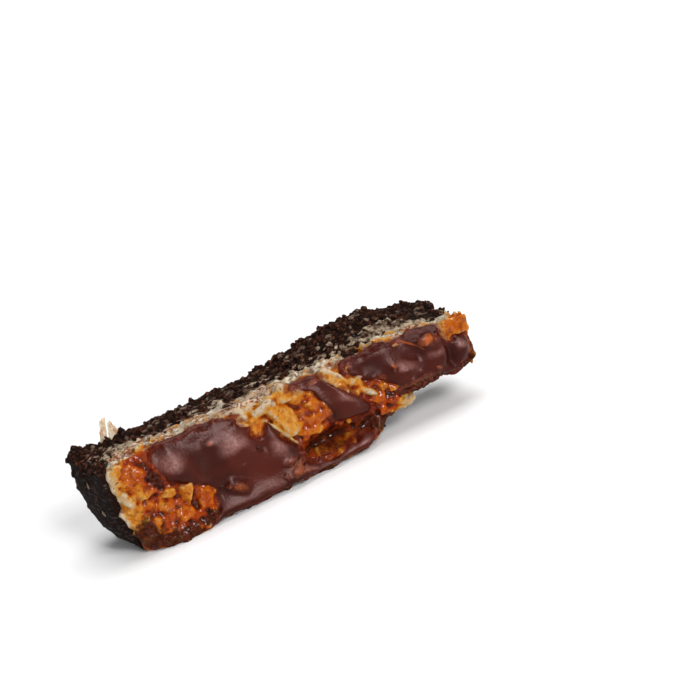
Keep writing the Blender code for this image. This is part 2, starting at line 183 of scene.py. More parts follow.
# %% [markdown]
# ## Fusing many small solids into one skin
#
# Coconut shreds stick together, and crumbs sit in the crumb. Joined meshes would only pass through each
# other, and thousands of Booleans would take hours. A voxel remesh turns a pile of overlapping closed solids
# into one skin in a second, and rounds their joints a little, as syrup does.

# %% Copy a solid, and fuse a pile


def copied(node):
    """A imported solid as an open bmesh, its loose triangles merged."""
    pile = bmesh.new()
    pile.from_mesh(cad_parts[node].data)
    bmesh.ops.remove_doubles(pile, verts=pile.verts, dist=0.002 * MM)
    return pile


def object_of(name, source):
    mesh = source
    if isinstance(source, bmesh.types.BMesh):
        mesh = bpy.data.meshes.new(name)
        source.to_mesh(mesh)
        source.free()
    made = bpy.data.objects.new(name, mesh)
    bpy.context.scene.collection.objects.link(made)
    return made


def fused(name, pile, voxel):
    """The pile as one closed skin made of cells of voxel millimetres."""
    rough = object_of(name + "_pile", pile)
    remesh = rough.modifiers.new("fuse", "REMESH")
    remesh.mode = "VOXEL"
    remesh.voxel_size = voxel * MM
    remesh.use_smooth_shade = True
    graph = bpy.context.evaluated_depsgraph_get()
    skin = bpy.data.meshes.new_from_object(rough.evaluated_get(graph))
    bpy.data.objects.remove(rough)
    made = object_of(name, skin)
    print(name, "has", len(skin.vertices), "points")
    return made


# %% [markdown]
# ## One shred, many times
#
# Shredded coconut comes as blunt curved strips. A few of them are modelled, from a small sphere that is
# squared off, tapered and bent, and then laid down again and again with another size and turn. Modelling
# each of them would take weeks, and the eye doesn't notice the repeats. Flakes and crumbs are made in the
# same way.

# %% Shreds, flakes and crumbs from a sphere
draw = random.Random(7)


def mesh_of(piece):
    mesh = bpy.data.meshes.new("kind")
    piece.to_mesh(mesh)
    piece.free()
    return mesh


def nugget(blunt, bend, ragged, cuts=(7, 5)):
    """A solid 1 across each way: blunt squares it off, bend curves it, ragged dents it."""
    piece = bmesh.new()
    bmesh.ops.create_uvsphere(piece, u_segments=cuts[0], v_segments=cuts[1], radius=0.5)
    bmesh.ops.rotate(piece, verts=piece.verts, matrix=Matrix.Rotation(math.pi / 2, 3, "Y"))
    taper = draw.uniform(-0.5, 0.5)
    for v in piece.verts:
        squared = [math.copysign(abs(2 * c) ** blunt / 2, c) for c in v.co]
        v.co = Vector(squared) * draw.uniform(1.0 - ragged, 1.0 + ragged)
        v.co.y = v.co.y * (1.0 + taper * v.co.x) + bend * v.co.x**2
        v.co.z += 0.6 * bend * v.co.x**2
    return mesh_of(piece)


# %% [markdown]
# A chunk is broken off, so it has flat faces and sharp corners. It starts as a cube, and random cuts slice
# its corners off.

# %% Chunks and slabs from a cube


def sliced(piece, at, way):
    """Cuts off what lies past a plane through the point at, and closes the cut."""
    geom = piece.verts[:] + piece.edges[:] + piece.faces[:]
    cut = bmesh.ops.bisect_plane(piece, geom=geom, plane_co=at, plane_no=way, clear_outer=True)
    rim = [e for e in cut["geom_cut"] if isinstance(e, bmesh.types.BMEdge)]
    if rim:
        bmesh.ops.contextual_create(piece, geom=rim)


def broken(cuts):
    """A solid 1 across each way with flat faces, as a knife or a bite leaves them."""
    piece = bmesh.new()
    bmesh.ops.create_cube(piece, size=1.0)
    for _ in range(cuts):
        way = Vector([draw.gauss(0.0, 1.0) for _ in range(3)]).normalized()
        sliced(piece, way * draw.uniform(0.36, 0.50), way)
    bmesh.ops.recalc_face_normals(piece, faces=piece.faces)
    bmesh.ops.triangulate(piece, faces=piece.faces)
    return mesh_of(piece)


# %% [markdown]
# Between four and nine of each kind are enough, because every copy gets a size and a turn of its own.

# %% A few of each kind
KINDS = {
    "shred": [nugget(0.62, draw.uniform(-0.6, 0.6), 0.08) for _ in range(9)],
    "chunk": [broken(9) for _ in range(9)],
    "slab": [broken(4) for _ in range(4)],
    "flake": [nugget(0.5, draw.uniform(-0.15, 0.15), 0.05, cuts=(8, 5)) for _ in range(5)],
    "crumb": [nugget(0.8, 0.0, 0.34, cuts=(6, 4)) for _ in range(8)],
}
print("kinds of small solid:", {name: len(kinds) for name, kinds in KINDS.items()})

# %% [markdown]
# ## Piling them up
#
# On the real bar each shred lies on the ones before it, a little sunk into the syrup. A pile copies a small
# solid, gives it a size, a spin and a lean, and seats it on a place of the skin. Particles could strew them
# too, but a loop keeps them in one mesh, ready to be fused, and lets each solid carry its own tone.

# %% A pile of small solids


class Pile:
    """Small solids laid on a skin, with a tone for each, such as how toasted it is."""

    def __init__(self, core, tone=0.0):
        self.mesh = core
        self.tone_of = self.mesh.faces.layers.float.new("tone")
        for face in self.mesh.faces:
            face[self.tone_of] = tone
        self.count = 0

    def add(self, kind, place, normal, spin, lean, size, tone, sink=0.3):
        """Lays one solid of size (length, width, height) in mm on place, sunk by a share of its height."""
        along = (Vector((1.0, 0.0, 0.0)) - normal * normal.x).normalized()
        across = normal.cross(along)
        lie = Matrix((along, across, normal)).transposed().to_quaternion()
        lie = lie @ Euler((0.0, 0.0, spin)).to_quaternion() @ Euler((lean, 0.4 * lean, 0.0)).to_quaternion()
        seat = place - normal * (sink - 0.5) * size[2] * MM
        copy = kind.copy()
        copy.transform(Matrix.LocRotScale(seat, lie, Vector(size) * MM))
        before = len(self.mesh.faces)
        self.mesh.from_mesh(copy)
        self.mesh.faces.ensure_lookup_table()
        for face in self.mesh.faces[before:]:
            face[self.tone_of] = tone
        bpy.data.meshes.remove(copy)
        self.count += 1


# %% [markdown]
# Random solids have to land on the skin, wherever it is. Rays are shot at it from well outside, as if the
# shreds were thrown at the bar from one side, and each lies down where its ray lands.

# %% Throwing solids at a skin from outside
IN_FRONT, BEHIND = -20.0, 60.0
UNDERNEATH, OVERHEAD = -20.0, 60.0
PAST_BAKED_END, PAST_BROKEN_END = -30.0, 130.0
FORWARD, BACKWARD = (0.0, 1.0, 0.0), (0.0, -1.0, 0.0)
UPWARD, DOWNWARD = (0.0, 0.0, 1.0), (0.0, 0.0, -1.0)
TO_BROKEN_END, TO_BAKED_END = (1.0, 0.0, 0.0), (-1.0, 0.0, 0.0)


def drawn(*ranges):
    """One random number from each range."""
    return [draw.uniform(*r) for r in ranges]


def aim(x, y, z, way):
    """A function that gives a random start, in which a pair is a range and a number stays, and the way."""

    def shot():
        return [draw.uniform(*c) if isinstance(c, tuple) else c for c in (x, y, z)], way

    return shot


def spread(skin, count, shot, lay):
    """Shoots count rays at a skin, and calls lay(place, normal) where each one lands."""
    for _ in range(count):
        start, way = shot()
        place, normal, _, _ = skin.ray_cast(to_world(*start), Vector(way))
        if place is not None:
            lay(place, normal)


# %% [markdown]
# ## Where the coconut browned
#
# The oven browned the coconut unevenly: cream where the knife cut it and in the thick of the pale flakes,
# gold in the open, orange to amber in the syrup beside the chocolate. A list of soft patches says how toasted
# the poured face is at each place, from 0 for cream to 1 for dark amber.

# %% Toasted patches of the poured face
TOAST_PATCHES = (  # x, z, reach along x and z, toast
    (3.5, 22.0, 2.4, 6.0, 0.13),
    (7.5, 22.5, 3.0, 3.5, 0.66),
    (10.5, 24.5, 3.5, 2.0, 0.92),
    (12.0, 19.0, 2.0, 4.0, 0.90),
    (7.5, 15.5, 4.0, 3.0, 0.38),
    (4.0, 11.5, 2.5, 2.5, 0.22),
    (11.0, 12.0, 3.0, 3.0, 0.60),
    (17.0, 12.0, 3.0, 2.5, 0.38),
    (15.5, 7.5, 4.5, 2.5, 0.62),
    (22.5, 8.0, 4.0, 3.0, 0.66),
    (38.0, 26.0, 5.0, 2.0, 0.02),
    (46.0, 25.0, 5.5, 2.6, 0.06),
    (50.5, 19.0, 3.5, 6.0, 0.30),
    (55.0, 23.0, 4.5, 3.5, 0.34),
    (53.5, 13.0, 2.5, 3.0, 0.46),
    (58.5, 18.5, 4.0, 3.0, 0.60),
    (59.0, 13.5, 5.0, 2.2, 0.66),
    (59.0, 10.0, 7.0, 1.6, 0.97),
    (60.0, 6.8, 5.0, 2.2, 0.62),
    (68.0, 7.2, 4.0, 2.2, 0.60),
    (66.5, 24.5, 3.5, 2.5, 0.30),
    (72.5, 18.5, 3.0, 3.0, 0.34),
    (76.5, 14.5, 3.0, 3.0, 0.62),
    (79.0, 10.6, 5.0, 2.2, 0.96),
    (84.0, 8.0, 4.0, 2.5, 0.30),
    (103.4, 22.4, 2.6, 2.6, 0.42),
    (107.6, 25.0, 1.8, 1.6, 0.80),
    (101.4, 21.6, 1.6, 1.6, 0.18),
)

# %% [markdown]
# A patch is a soft oval: its middle, its reach both ways, and a value. A painted picture could hold the same,
# but rows of numbers can be read, moved and changed one by one. Between the patches the face has a toast of
# its own, so that they blend into it and into each other.

# %% How toasted a place is
GROUND_TOAST, GROUND_WEIGHT = 0.55, 0.08


def near(across, up, patch):
    """How deep places lie in a patch that starts with its middle and its reach: 1 at its middle."""
    return bell(np.hypot((across - patch[0]) / patch[2], (up - patch[1]) / patch[3]))


def toast_of(x, z):
    """The patches' mean at each place, weighed with the ground between them."""
    total = np.full_like(x, GROUND_TOAST * GROUND_WEIGHT)
    share = np.full_like(x, GROUND_WEIGHT)
    for patch in TOAST_PATCHES:
        weight = near(x, z, patch)
        total += weight * patch[4]
        share += weight
    return total / share


def toast_at(place):
    x, _, z = on_bar(np.array([place]))[0]
    return float(toast_of(np.array([x]), np.array([z]))[0])


print("toast at the cream corner:", round(toast_at(to_world(3.0, 0.0, 24.0)), 2))

# %% [markdown]
# ## The coconut layer
#
# The imported solid is the core. Large chunks that show in the open are listed one by one, each with its place,
# size, spin and toast, because they make this bar look like itself. Hundreds of random shreds and chunks fill
# in between them, and a voxel remesh then fuses the pile.

# %% The large chunks of the poured face
LARGE_CHUNKS = (  # kind, x, z, length, width, height, spin in degrees, toast
    ("flake", 3.2, 23.0, 6.4, 3.2, 1.8, 86, 0.17),
    ("chunk", 4.0, 17.8, 5.4, 3.6, 2.0, 78, 0.22),
    ("flake", 7.8, 21.8, 6.6, 6.0, 2.0, 40, 0.57),
    ("flake", 10.8, 25.4, 6.4, 3.0, 1.6, -4, 0.90),
    ("chunk", 12.6, 20.2, 6.6, 4.0, 1.8, 78, 0.92),
    ("chunk", 8.6, 17.0, 6.6, 5.2, 2.8, 25, 0.34),
    ("chunk", 5.4, 13.4, 5.0, 4.0, 2.2, 15, 0.46),
    ("chunk", 3.0, 12.4, 5.0, 2.6, 1.8, 85, 0.12),
    ("chunk", 9.8, 12.6, 4.6, 3.8, 2.2, -30, 0.66),
    ("chunk", 15.8, 13.9, 4.2, 3.4, 3.0, 40, 0.38),
    ("chunk", 14.4, 10.0, 5.2, 3.6, 2.6, 70, 0.56),
    ("chunk", 19.6, 11.4, 6.6, 3.8, 4.2, 80, 0.48),
    ("chunk", 24.0, 8.2, 6.4, 5.0, 3.6, -12, 0.64),
    ("chunk", 17.4, 7.2, 5.4, 3.8, 2.6, 12, 0.56),
    ("chunk", 12.6, 6.8, 5.2, 3.8, 2.2, -20, 0.72),
    ("shred", 20.6, 5.2, 4.8, 2.4, 1.8, 8, 0.80),
    ("flake", 38.6, 26.2, 6.0, 2.8, 1.4, 4, 0.00),
    ("flake", 43.0, 25.2, 6.8, 3.8, 1.4, -6, 0.02),
    ("flake", 47.0, 23.4, 7.0, 4.4, 1.8, 20, 0.10),
    ("flake", 43.8, 19.8, 5.6, 4.0, 1.6, 75, 0.44),
    ("flake", 51.2, 19.8, 14.0, 6.4, 2.6, -62, 0.28),
    ("flake", 55.8, 24.2, 9.0, 3.6, 2.0, -42, 0.30),
    ("shred", 49.6, 15.4, 14.0, 0.9, 3.2, -57, 0.12),
    ("chunk", 53.8, 14.4, 4.4, 3.0, 2.4, 50, 0.34),
    ("chunk", 56.0, 17.0, 4.6, 3.6, 2.2, -20, 0.56),
    ("chunk", 59.6, 19.0, 4.8, 4.2, 3.4, 20, 0.58),
    ("flake", 57.0, 21.4, 6.0, 2.6, 1.8, -30, 0.44),
    ("flake", 61.6, 15.2, 9.6, 3.2, 2.6, 8, 0.60),
    ("flake", 57.4, 12.6, 7.0, 3.4, 2.4, -8, 0.50),
    ("shred", 59.4, 10.4, 9.4, 2.0, 1.8, 18, 0.94),
    ("shred", 54.6, 8.6, 5.2, 2.0, 1.6, 25, 0.90),
    ("chunk", 60.0, 6.9, 6.2, 3.4, 1.8, 22, 0.44),
    ("chunk", 66.2, 7.6, 6.4, 3.0, 1.8, 26, 0.42),
    ("chunk", 71.0, 7.6, 4.0, 3.0, 1.8, 30, 0.70),
    ("flake", 67.0, 23.4, 8.0, 3.6, 3.0, -46, 0.31),
    ("chunk", 71.4, 20.0, 3.8, 2.8, 2.2, -36, 0.26),
    ("chunk", 73.4, 18.8, 4.2, 3.6, 2.2, 10, 0.24),
    ("chunk", 72.0, 16.2, 3.6, 3.0, 1.8, -30, 0.44),
    ("shred", 75.8, 15.6, 5.6, 1.8, 2.2, -36, 0.12),
    ("chunk", 77.4, 12.6, 4.6, 3.4, 2.2, -20, 0.60),
    ("chunk", 80.0, 15.4, 3.6, 2.8, 2.0, 30, 0.46),
    ("chunk", 82.8, 13.8, 3.4, 2.4, 1.8, -10, 0.50),
    ("shred", 80.4, 10.6, 6.2, 2.4, 2.0, -6, 0.90),
    ("chunk", 84.6, 8.6, 7.0, 4.6, 2.8, 10, 0.20),
    ("slab", 104.9, 22.2, 7.2, 5.0, 1.6, -6, 0.53),
    ("chunk", 100.8, 22.9, 4.0, 3.4, 2.2, 20, 0.08),
    ("shred", 68.4, 24.0, 8.0, 1.1, 3.4, -48, 0.05),
    ("flake", 57.4, 18.0, 5.4, 3.2, 2.0, 50, 0.64),
    ("flake", 55.6, 14.6, 4.6, 2.6, 2.0, -35, 0.50),
)
CORE_TONE = -1.0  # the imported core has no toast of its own
CHUNK_SINK = 0.52

core = copied("coconut_layer")
coconut_skin = BVHTree.FromBMesh(core)
coconut = Pile(core, tone=CORE_TONE)

for kind, x, z, length, width, height, spin, toast in LARGE_CHUNKS:
    place, normal, _, _ = coconut_skin.ray_cast(to_world(x, IN_FRONT, z), Vector(FORWARD))
    if place is None:
        continue
    facing = Vector(BACKWARD).lerp(normal, 0.5).normalized()
    shape = KINDS[kind][coconut.count % len(KINDS[kind])]
    lean = draw.uniform(-0.2, 0.2)
    coconut.add(shape, place, facing, math.radians(spin), lean, (length, width, height), toast, CHUNK_SINK)
print("large chunks:", coconut.count)

# %% [markdown]
# ## Where the chocolate lies
#
# The coconut gives way beneath the chocolate, so both have to know where it lies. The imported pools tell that.
# All their faces together say how near the chocolate is, and their walls alone say how near its edge is. The
# walls on the cut side are left out: the knife went through there, so the chocolate doesn't thin out.

# %% The pools' solids and their walls
POOL_NODES = ("chocolate_pool_left", "chocolate_pool_middle", "chocolate_pool_right")
CUT_FROM = 23.5  # mm up, where the cut side begins
MOST_SLANT = 0.45  # how far a wall's normal may point along y

pool_core = bmesh.new()
for node in POOL_NODES:
    pool_core.from_mesh(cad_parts[node].data)
pool_cores = BVHTree.FromBMesh(pool_core)
pool_core.normal_update()
no_walls = []
for face in pool_core.faces:
    knife_cut = face.normal.z > 0.75 and face.calc_center_median().z > CUT_FROM * MM
    if abs(face.normal.y) >= MOST_SLANT or knife_cut:
        no_walls.append(face)
bmesh.ops.delete(pool_core, geom=no_walls, context="FACES")
pool_walls = BVHTree.FromBMesh(pool_core)
print("faces in the pools' walls:", len(pool_core.faces))
pool_core.free()

# %% [markdown]
# The rest of the poured face gets small chunks and shreds at random. They take the toast of the place where
# they land, each a little lighter or darker than its neighbours, and they leave the large chunks free. The
# cut side gets smaller shreds, because the knife went through them.

# %% Random shreds on all sides of the coconut
KEPT_FREE = 0.46  # how far from its middle a large chunk is kept free, as a share of its mean size


def on_large_chunk(place):
    x, _, z = on_bar(np.array([place]))[0]
    for _, chunk_x, chunk_z, length, width, *_ in LARGE_CHUNKS:
        if math.hypot(x - chunk_x, z - chunk_z) < KEPT_FREE * math.sqrt(length * width):
            return True
    return False


def face_shred(place, normal):
    covered = pool_cores.find_nearest(place, 0.9 * MM)[0] is not None
    if covered and pool_walls.find_nearest(place, 1.8 * MM)[0] is None:
        return
    if on_large_chunk(place):
        return
    toast = toast_at(place) + draw.gauss(0.0, 0.12)
    if draw.random() < 0.5:
        size = drawn((3.4, 6.4), (1.6, 2.8), (0.8, 1.3))
        kind = draw.choice(KINDS["shred"])
    else:
        size = drawn((2.4, 4.6), (2.0, 3.4), (1.4, 2.2))
        kind = draw.choice(KINDS["chunk"])
    spin, lean = draw.uniform(0.0, math.tau), draw.gauss(0.0, 0.35)
    coconut.add(kind, place, normal, spin, lean, size, toast, draw.uniform(0.45, 0.7))


def cut_shred(place, normal):
    size = drawn((1.0, 3.4), (0.7, 1.5), (0.7, 1.4))
    kind = draw.choice(KINDS["shred"])
    spin, lean = draw.uniform(0.0, math.tau), draw.gauss(0.0, 0.4)
    tone, sink = drawn((0.0, 0.3), (0.35, 0.6))
    coconut.add(kind, place, normal, spin, lean, size, tone, sink)


at_coconut_top = aim((0.0, 108.0), (0.5, 17.0), OVERHEAD, DOWNWARD)
spread(coconut_skin, 360, aim((0.0, 108.0), IN_FRONT, (1.0, 27.0), FORWARD), face_shred)
spread(coconut_skin, 640, at_coconut_top, cut_shred)
spread(coconut_skin, 60, aim(PAST_BROKEN_END, (0.0, 12.0), (9.0, 26.0), TO_BAKED_END), face_shred)
spread(coconut_skin, 160, aim((15.0, 108.0), (0.0, 12.0), UNDERNEATH, UPWARD), cut_shred)
print("coconut solids:", coconut.count)

# %% [markdown]
# ## Working on a fused skin
#
# A fused skin has lost the tones of its solids, so each of its points asks the nearest solid of the pile for
# its tone. Moving each point a little towards the mean of its neighbours relaxes a skin, as a sculptor's
# smoothing brush does, and a share for each point says where.

# %% Tones, relaxing, and the plane on which the bar rests


def tones_of(pile):
    """A function that gives the tone of the pile's solid nearest to each point."""
    tree = BVHTree.FromBMesh(pile.mesh)
    pile.mesh.faces.ensure_lookup_table()
    tones = [face[pile.tone_of] for face in pile.mesh.faces]
    return lambda points: np.array([tones[tree.find_nearest(Vector(p))[2]] for p in points])


def relaxed(mesh, share, rounds):
    for _ in range(rounds):
        points = read(mesh, "co")
        points += (neighbours_mean(mesh, points, 1) - points) * share[:, None]
        write(mesh, points)


def keep_above(points, height):
    points[:, 2] = np.maximum(points[:, 2], height * MM)


# %% [markdown]
# ## Fusing the coconut
#
# The poured side and the knife-cut side look quite different, so each point first learns on which of them it
# lies. The cut shows on top, underneath and at the broken end.

# %% Fuse the coconut, and find its cut sides
coconut_tone = tones_of(coconut)
coconut_layer = fused("coconut_macaroon", coconut.mesh, voxel=0.36)
mesh = coconut_layer.data
points, normal = read(mesh, "co"), read(mesh, "normal")
x, y, z = on_bar(points).T
tone = coconut_tone(points)
cut = step(0.35, 0.75, normal[:, 2]) * step(0.6, 2.0, y)
cut = np.maximum(cut, step(0.35, 0.75, -normal[:, 2]) * step(3.0, 5.0, y))
cut = np.maximum(cut, step(0.2, 0.6, normal[:, 0]) * step(104.0, 106.0, x) * step(1.5, 3.5, y))
cut = neighbours_mean(mesh, cut[:, None], 3)[:, 0]
print("share of points on a cut side:", round(float(cut.mean()), 2))

# %% [markdown]
# Syrup rounded the poured side and filled its crevices a little, while the cut side stays crisp. Smooth noise
# of two sizes then roughens both, apart from one flat orange flake at the broken end. A finer remesh could
# bring such lumps by itself, but only with many times the points.

# %% Syrup in the crevices, and small crags
FLAT_FLAKE = (104.9, 22.6, 4.2, 3.0)  # x, z, reach along x and z
SYRUP_DEPTH = 0.42

relaxed(mesh, 0.6 * (1.0 - cut), 1)
fill = np.clip(-relief(mesh, 8) - 0.1, 0.0, 1.0) * (1.0 - cut)
write(mesh, read(mesh, "co") + read(mesh, "normal") * (SYRUP_DEPTH * fill)[:, None] * MM)
points, normal = read(mesh, "co"), read(mesh, "normal")
place = on_bar(points)
crag = (0.24 * lumps(place, 1.8, 3.0) + 0.14 * lumps(place, 0.8, 5.0)) * (1.0 - 0.4 * cut)
crag *= 1.0 - 0.8 * near(place[:, 0], place[:, 2], FLAT_FLAKE)
points += normal * crag[:, None] * MM
print("syrup up to", round(SYRUP_DEPTH * float(fill.max()), 2), "mm deep")

# %% [markdown]
# Below the middle pool the coconut broke away, which leaves a hollow. Beneath the chocolate the coconut is
# pushed back, so that it doesn't poke through, and so is its top rim there. No point may go below the plane
# on which the bar rests, or far out in front.

# %% The hollow, and room for the chocolate
HOLLOW = (62.0, 7.0, 10.0, 2.2)  # x, z, reach along x and z
HOLLOW_DEPTH, POOL_BED, RIM_BED = 3.0, 2.9, 1.2  # how far the coconut gives way there
POOLS_AT_RIM = (  # x, and whether a pool reaches the top rim there
    (12, 15, 36, 39, 54, 57, 62, 65, 69, 72, 97, 100),
    (0, 1, 1, 0, 0, 1, 1, 0, 0, 1, 1, 0),
)
PAST_FACE = 0.8  # how far in front of the solids the coconut may stand

x, y, z = on_bar(points).T
# the hollow's mask pushes the coconut back here, and the finish later paints the hollow in shade
hollow = near(x, z, HOLLOW) * step(4.0, 2.0, y)
points[:, 1] += HOLLOW_DEPTH * hollow * MM
under = np.zeros_like(x)
for i in np.flatnonzero(y < 4.0):
    if pool_cores.find_nearest(Vector(points[i]), 1.4 * MM)[0] is not None:
        under[i] = pool_walls.find_nearest(Vector(points[i]))[3] / MM
points[:, 1] += POOL_BED * step(1.2, 3.2, under) * MM
at_rim = RIM_BED * np.interp(x, *POOLS_AT_RIM) * step(24.0, 25.6, z) * step(3.5, 1.0, y)
points[:, 1] += at_rim * MM
keep_above(points, 0.0)
points[:, 1] = np.maximum(points[:, 1], to_world(0.0, low.y - PAST_FACE, 0.0).y)
write(mesh, points)
print("points beneath the chocolate:", int((under > 1.2).sum()))

# %% [markdown]
# On the cut side coconut gives way to brownie along a seam that wanders, with crumbs and shreds on both sides
# of it. Its course is a list of points, and noise of two sizes frays it.

# %% The seam on the cut side
SEAM = (  # x, y
    (0.5, -6.0), (3.0, 3.0), (5.0, 11.0), (8.0, 17.0), (12.0, 17.0), (15.0, 12.5),
    (22.0, 13.5), (28.0, 12.0), (34.0, 9.5), (38.0, 11.5), (43.0, 10.0), (48.0, 9.0),
    (54.0, 10.5), (60.0, 9.5), (66.0, 12.0), (72.0, 9.5), (76.5, 5.5), (80.0, 9.0),
    (85.0, 14.5), (92.0, 16.5), (97.0, 13.5), (101.0, 8.5), (108.0, 9.0),
)


def past_seam(place):
    """How far points lie behind the seam, on the brownie's side, in millimetres."""
    seam_x, seam_y = np.array(SEAM).T
    wander = 2.0 * lumps(place, 2.6, 14.0) + 1.2 * lumps(place, 1.1, 15.0)
    return place[:, 1] - np.interp(place[:, 0], seam_x, seam_y) + wander


# %% [markdown]
# Three more lists of patches say where chocolate is smeared on the coconut, where it has small scorched
# flecks, and where its cut side is reddish brown. Here patches don't blend: the strongest one counts.

# %% Stains, flecks and reddish places
STAINS = (  # x, z, reach along x and z, how much chocolate is smeared on the coconut
    (3.0, 4.0, 10.0, 6.0, 1.0),
    (6.5, 8.5, 4.5, 2.6, 0.7),
    (14.0, 1.5, 9.0, 3.2, 1.0),
    (48.0, 0.0, 34.0, 2.4, 1.0),
    (68.0, 0.4, 10.0, 2.4, 1.0),
    (24.0, 2.5, 4.0, 2.8, 1.0),
    (13.5, 19.0, 2.6, 4.8, 0.75),
    (11.5, 24.8, 2.6, 1.6, 0.5),
    (31.5, 8.0, 5.0, 2.5, 0.8),
    (56.5, 25.5, 2.2, 1.4, 0.6),
    (74.0, 5.5, 4.0, 3.5, 1.0),
    (60.0, 9.0, 8.0, 1.4, 0.6),
    # this row darkens the hollow below the middle pool: partly smeared chocolate, partly painted shade
    (63.0, 5.0, 9.0, 2.2, 0.55),
    (78.0, 5.0, 6.0, 2.6, 1.0),
    (94.0, 10.4, 12.0, 3.0, 1.0),
    (104.0, 11.0, 6.0, 3.5, 1.0),
    (109.0, 15.0, 3.0, 5.0, 0.8),
)
FLECKED = (  # x, z, reach along x and z of places with small scorched flecks
    (4.4, 21.0, 2.6, 3.6),
    (9.0, 17.5, 2.6, 3.4),
    (38.2, 26.2, 3.4, 2.2),
    (46.0, 25.6, 4.0, 1.6),
    (50.6, 21.5, 1.6, 3.0),
    (56.0, 26.8, 4.0, 1.4),
    (57.6, 21.0, 2.0, 2.0),
    (78.0, 26.4, 5.0, 1.0),
    (100.6, 24.6, 2.6, 1.8),
)
REDDENED = (  # x, y, reach along x and y: reddish-brown places on the cut side
    (7.0, 7.0, 2.6, 4.0),
    (11.5, 6.0, 2.4, 4.0),
    (18.0, 3.6, 3.0, 2.6),
    (24.0, 9.0, 2.0, 2.0),
    (31.0, 4.0, 4.0, 1.6),
    (39.5, 5.0, 2.6, 2.6),
    (52.0, 6.0, 1.6, 3.0),
    (80.0, 5.0, 3.0, 2.0),
    (96.0, 6.0, 4.0, 2.4),
)


def strongest(patches, across, up):
    """The largest value that the patches have at each place. A patch without a value counts as 1."""
    amount = np.zeros_like(across)
    for patch in patches:
        value = patch[4] if len(patch) > 4 else 1.0
        amount = np.maximum(amount, value * near(across, up, patch))
    return amount


print("patches:", len(STAINS), "of chocolate,", len(FLECKED), "flecked,", len(REDDENED), "reddish")

# %% [markdown]
# Last, the coconut's points write down what their finish has to know: toast, how far they stand out of the
# surface or lie in a crevice, which the finish turns into painted highlight and shade, chocolate smears,
# flecks, the hollow, which gets painted shade, the cut, its rim and the crumbs on it. On a cut side the toast
# counts for little, because the oven browned only the outside.

# %% Paint what the coconut's points are made of
face_toast = toast_of(x, z)
inner_toast = np.where(tone < 0.0, 0.15, np.minimum(tone, 0.3))
toast = np.where(tone < 0.0, face_toast + 0.12, 0.75 * tone + 0.25 * face_toast)
toast = neighbours_mean(mesh, toast[:, None], 7)[:, 0]
toast += (inner_toast - toast) * cut
coconut_rise = neighbours_mean(mesh, np.clip(relief(mesh, 14), -0.5, 0.5)[:, None], 2)[:, 0]
for name, values in (
    ("toast", toast),
    ("relief", coconut_rise),
    ("ridge", np.clip(relief(mesh, 3), -0.2, 0.2)),
    ("smear", strongest(STAINS, x, z) * (1.0 - cut) * step(4.0, 1.0, y)),
    ("scorch", strongest(FLECKED, x, z) * step(5.0, 3.0, y)),
    ("reddened", strongest(REDDENED, x, y) * cut * step(22.0, 24.0, z)),
    ("cut", cut),
    ("hollow", hollow),
    ("rim", step(2.4, 0.8, y) * step(24.0, 25.5, z)),
    ("crumbed", step(-0.3, 0.5, past_seam(on_bar(points))) * cut),
):
    paint(mesh, name, values)
print("toast from", round(float(toast.min()), 2), "to", round(float(toast.max()), 2))

# %% [markdown]
# ## The brownie
#
# A brownie tears into crumbs where it is cut, and has a smoother skin where it touched the tin: here at the
# baked end and along the base. Thousands of small crumbs and shreds are laid on the torn sides. Crumbs also
# go over the coconut behind the seam, and shreds over the crumb before it, so that one fades into the other.

# %% The brownie's core, and what is laid on it
SLIVERS_X, SLIVERS_Y = (5.0, 17.0), (17.0, 25.0)
CRUMB_TOP = 27.0

brownie_core = copied("brownie_base")
for v in brownie_core.verts:  # the slivers that stand up from the cut side are made again, thinner
    x, y, z = on_bar(np.array([v.co]))[0]
    among_slivers = SLIVERS_X[0] < x < SLIVERS_X[1] and SLIVERS_Y[0] < y < SLIVERS_Y[1]
    if among_slivers and z > CRUMB_TOP + 0.2:
        v.co.z = CRUMB_TOP * MM
brownie_skin = BVHTree.FromBMesh(brownie_core)
brownie = Pile(brownie_core)


def crumb(place, normal):
    grain = 0.7 + 2.2 * draw.random() ** 2.5
    size = (grain * draw.uniform(0.9, 1.5), grain, grain * draw.uniform(0.7, 1.0))
    kind = draw.choice(KINDS["crumb"])
    spin, lean, sink = drawn((0.0, math.tau), (-0.4, 0.4), (0.3, 0.65))
    brownie.add(kind, place, normal, spin, lean, size, 0.0, sink)


def baked_in_shred(place, normal):
    size = drawn((1.2, 3.4), (0.9, 2.0), (0.8, 1.3))
    kind = draw.choice(KINDS["shred"])
    _, y, _ = on_bar(np.array([place]))[0]
    tone = draw.uniform(0.2, 1.0) * (1.0 if y < 17.0 else 0.6)  # duller towards the base
    spin, lean = draw.uniform(0.0, math.tau), draw.gauss(0.0, 0.4)
    brownie.add(kind, place, normal, spin, lean, size, tone, draw.uniform(0.45, 0.8))


def crumb_on_coconut(place, normal):
    behind = past_seam(on_bar(np.array([place])))[0]
    if behind > 0.4 or (behind > -5.0 and draw.random() < 0.14):
        crumb(place, normal)


def shred_before_seam(place, normal):
    if past_seam(on_bar(np.array([place])))[0] < 0.3:
        size = drawn((1.2, 3.6), (1.0, 2.0), (0.9, 1.7))
        kind = draw.choice(KINDS["shred"])
        spin, lean = draw.uniform(0.0, math.tau), draw.gauss(0.0, 0.4)
        brownie.add(kind, place, normal, spin, lean, size, draw.uniform(0.7, 1.0), 0.4)


# %% [markdown]
# The torn sides are the cut side on top, the broken end and the underside, and they get most of the crumbs.
# The baked end and the back touched the tin, so only a few specks stick to them. More shreds lie near the
# coconut than far from it, which a triangular draw does.

# %% Crumbs and shreds on all sides of the brownie


def near_coconut():
    return (draw.uniform(2.0, 108.0), draw.triangular(8.0, 27.0, 13.0), OVERHEAD), DOWNWARD


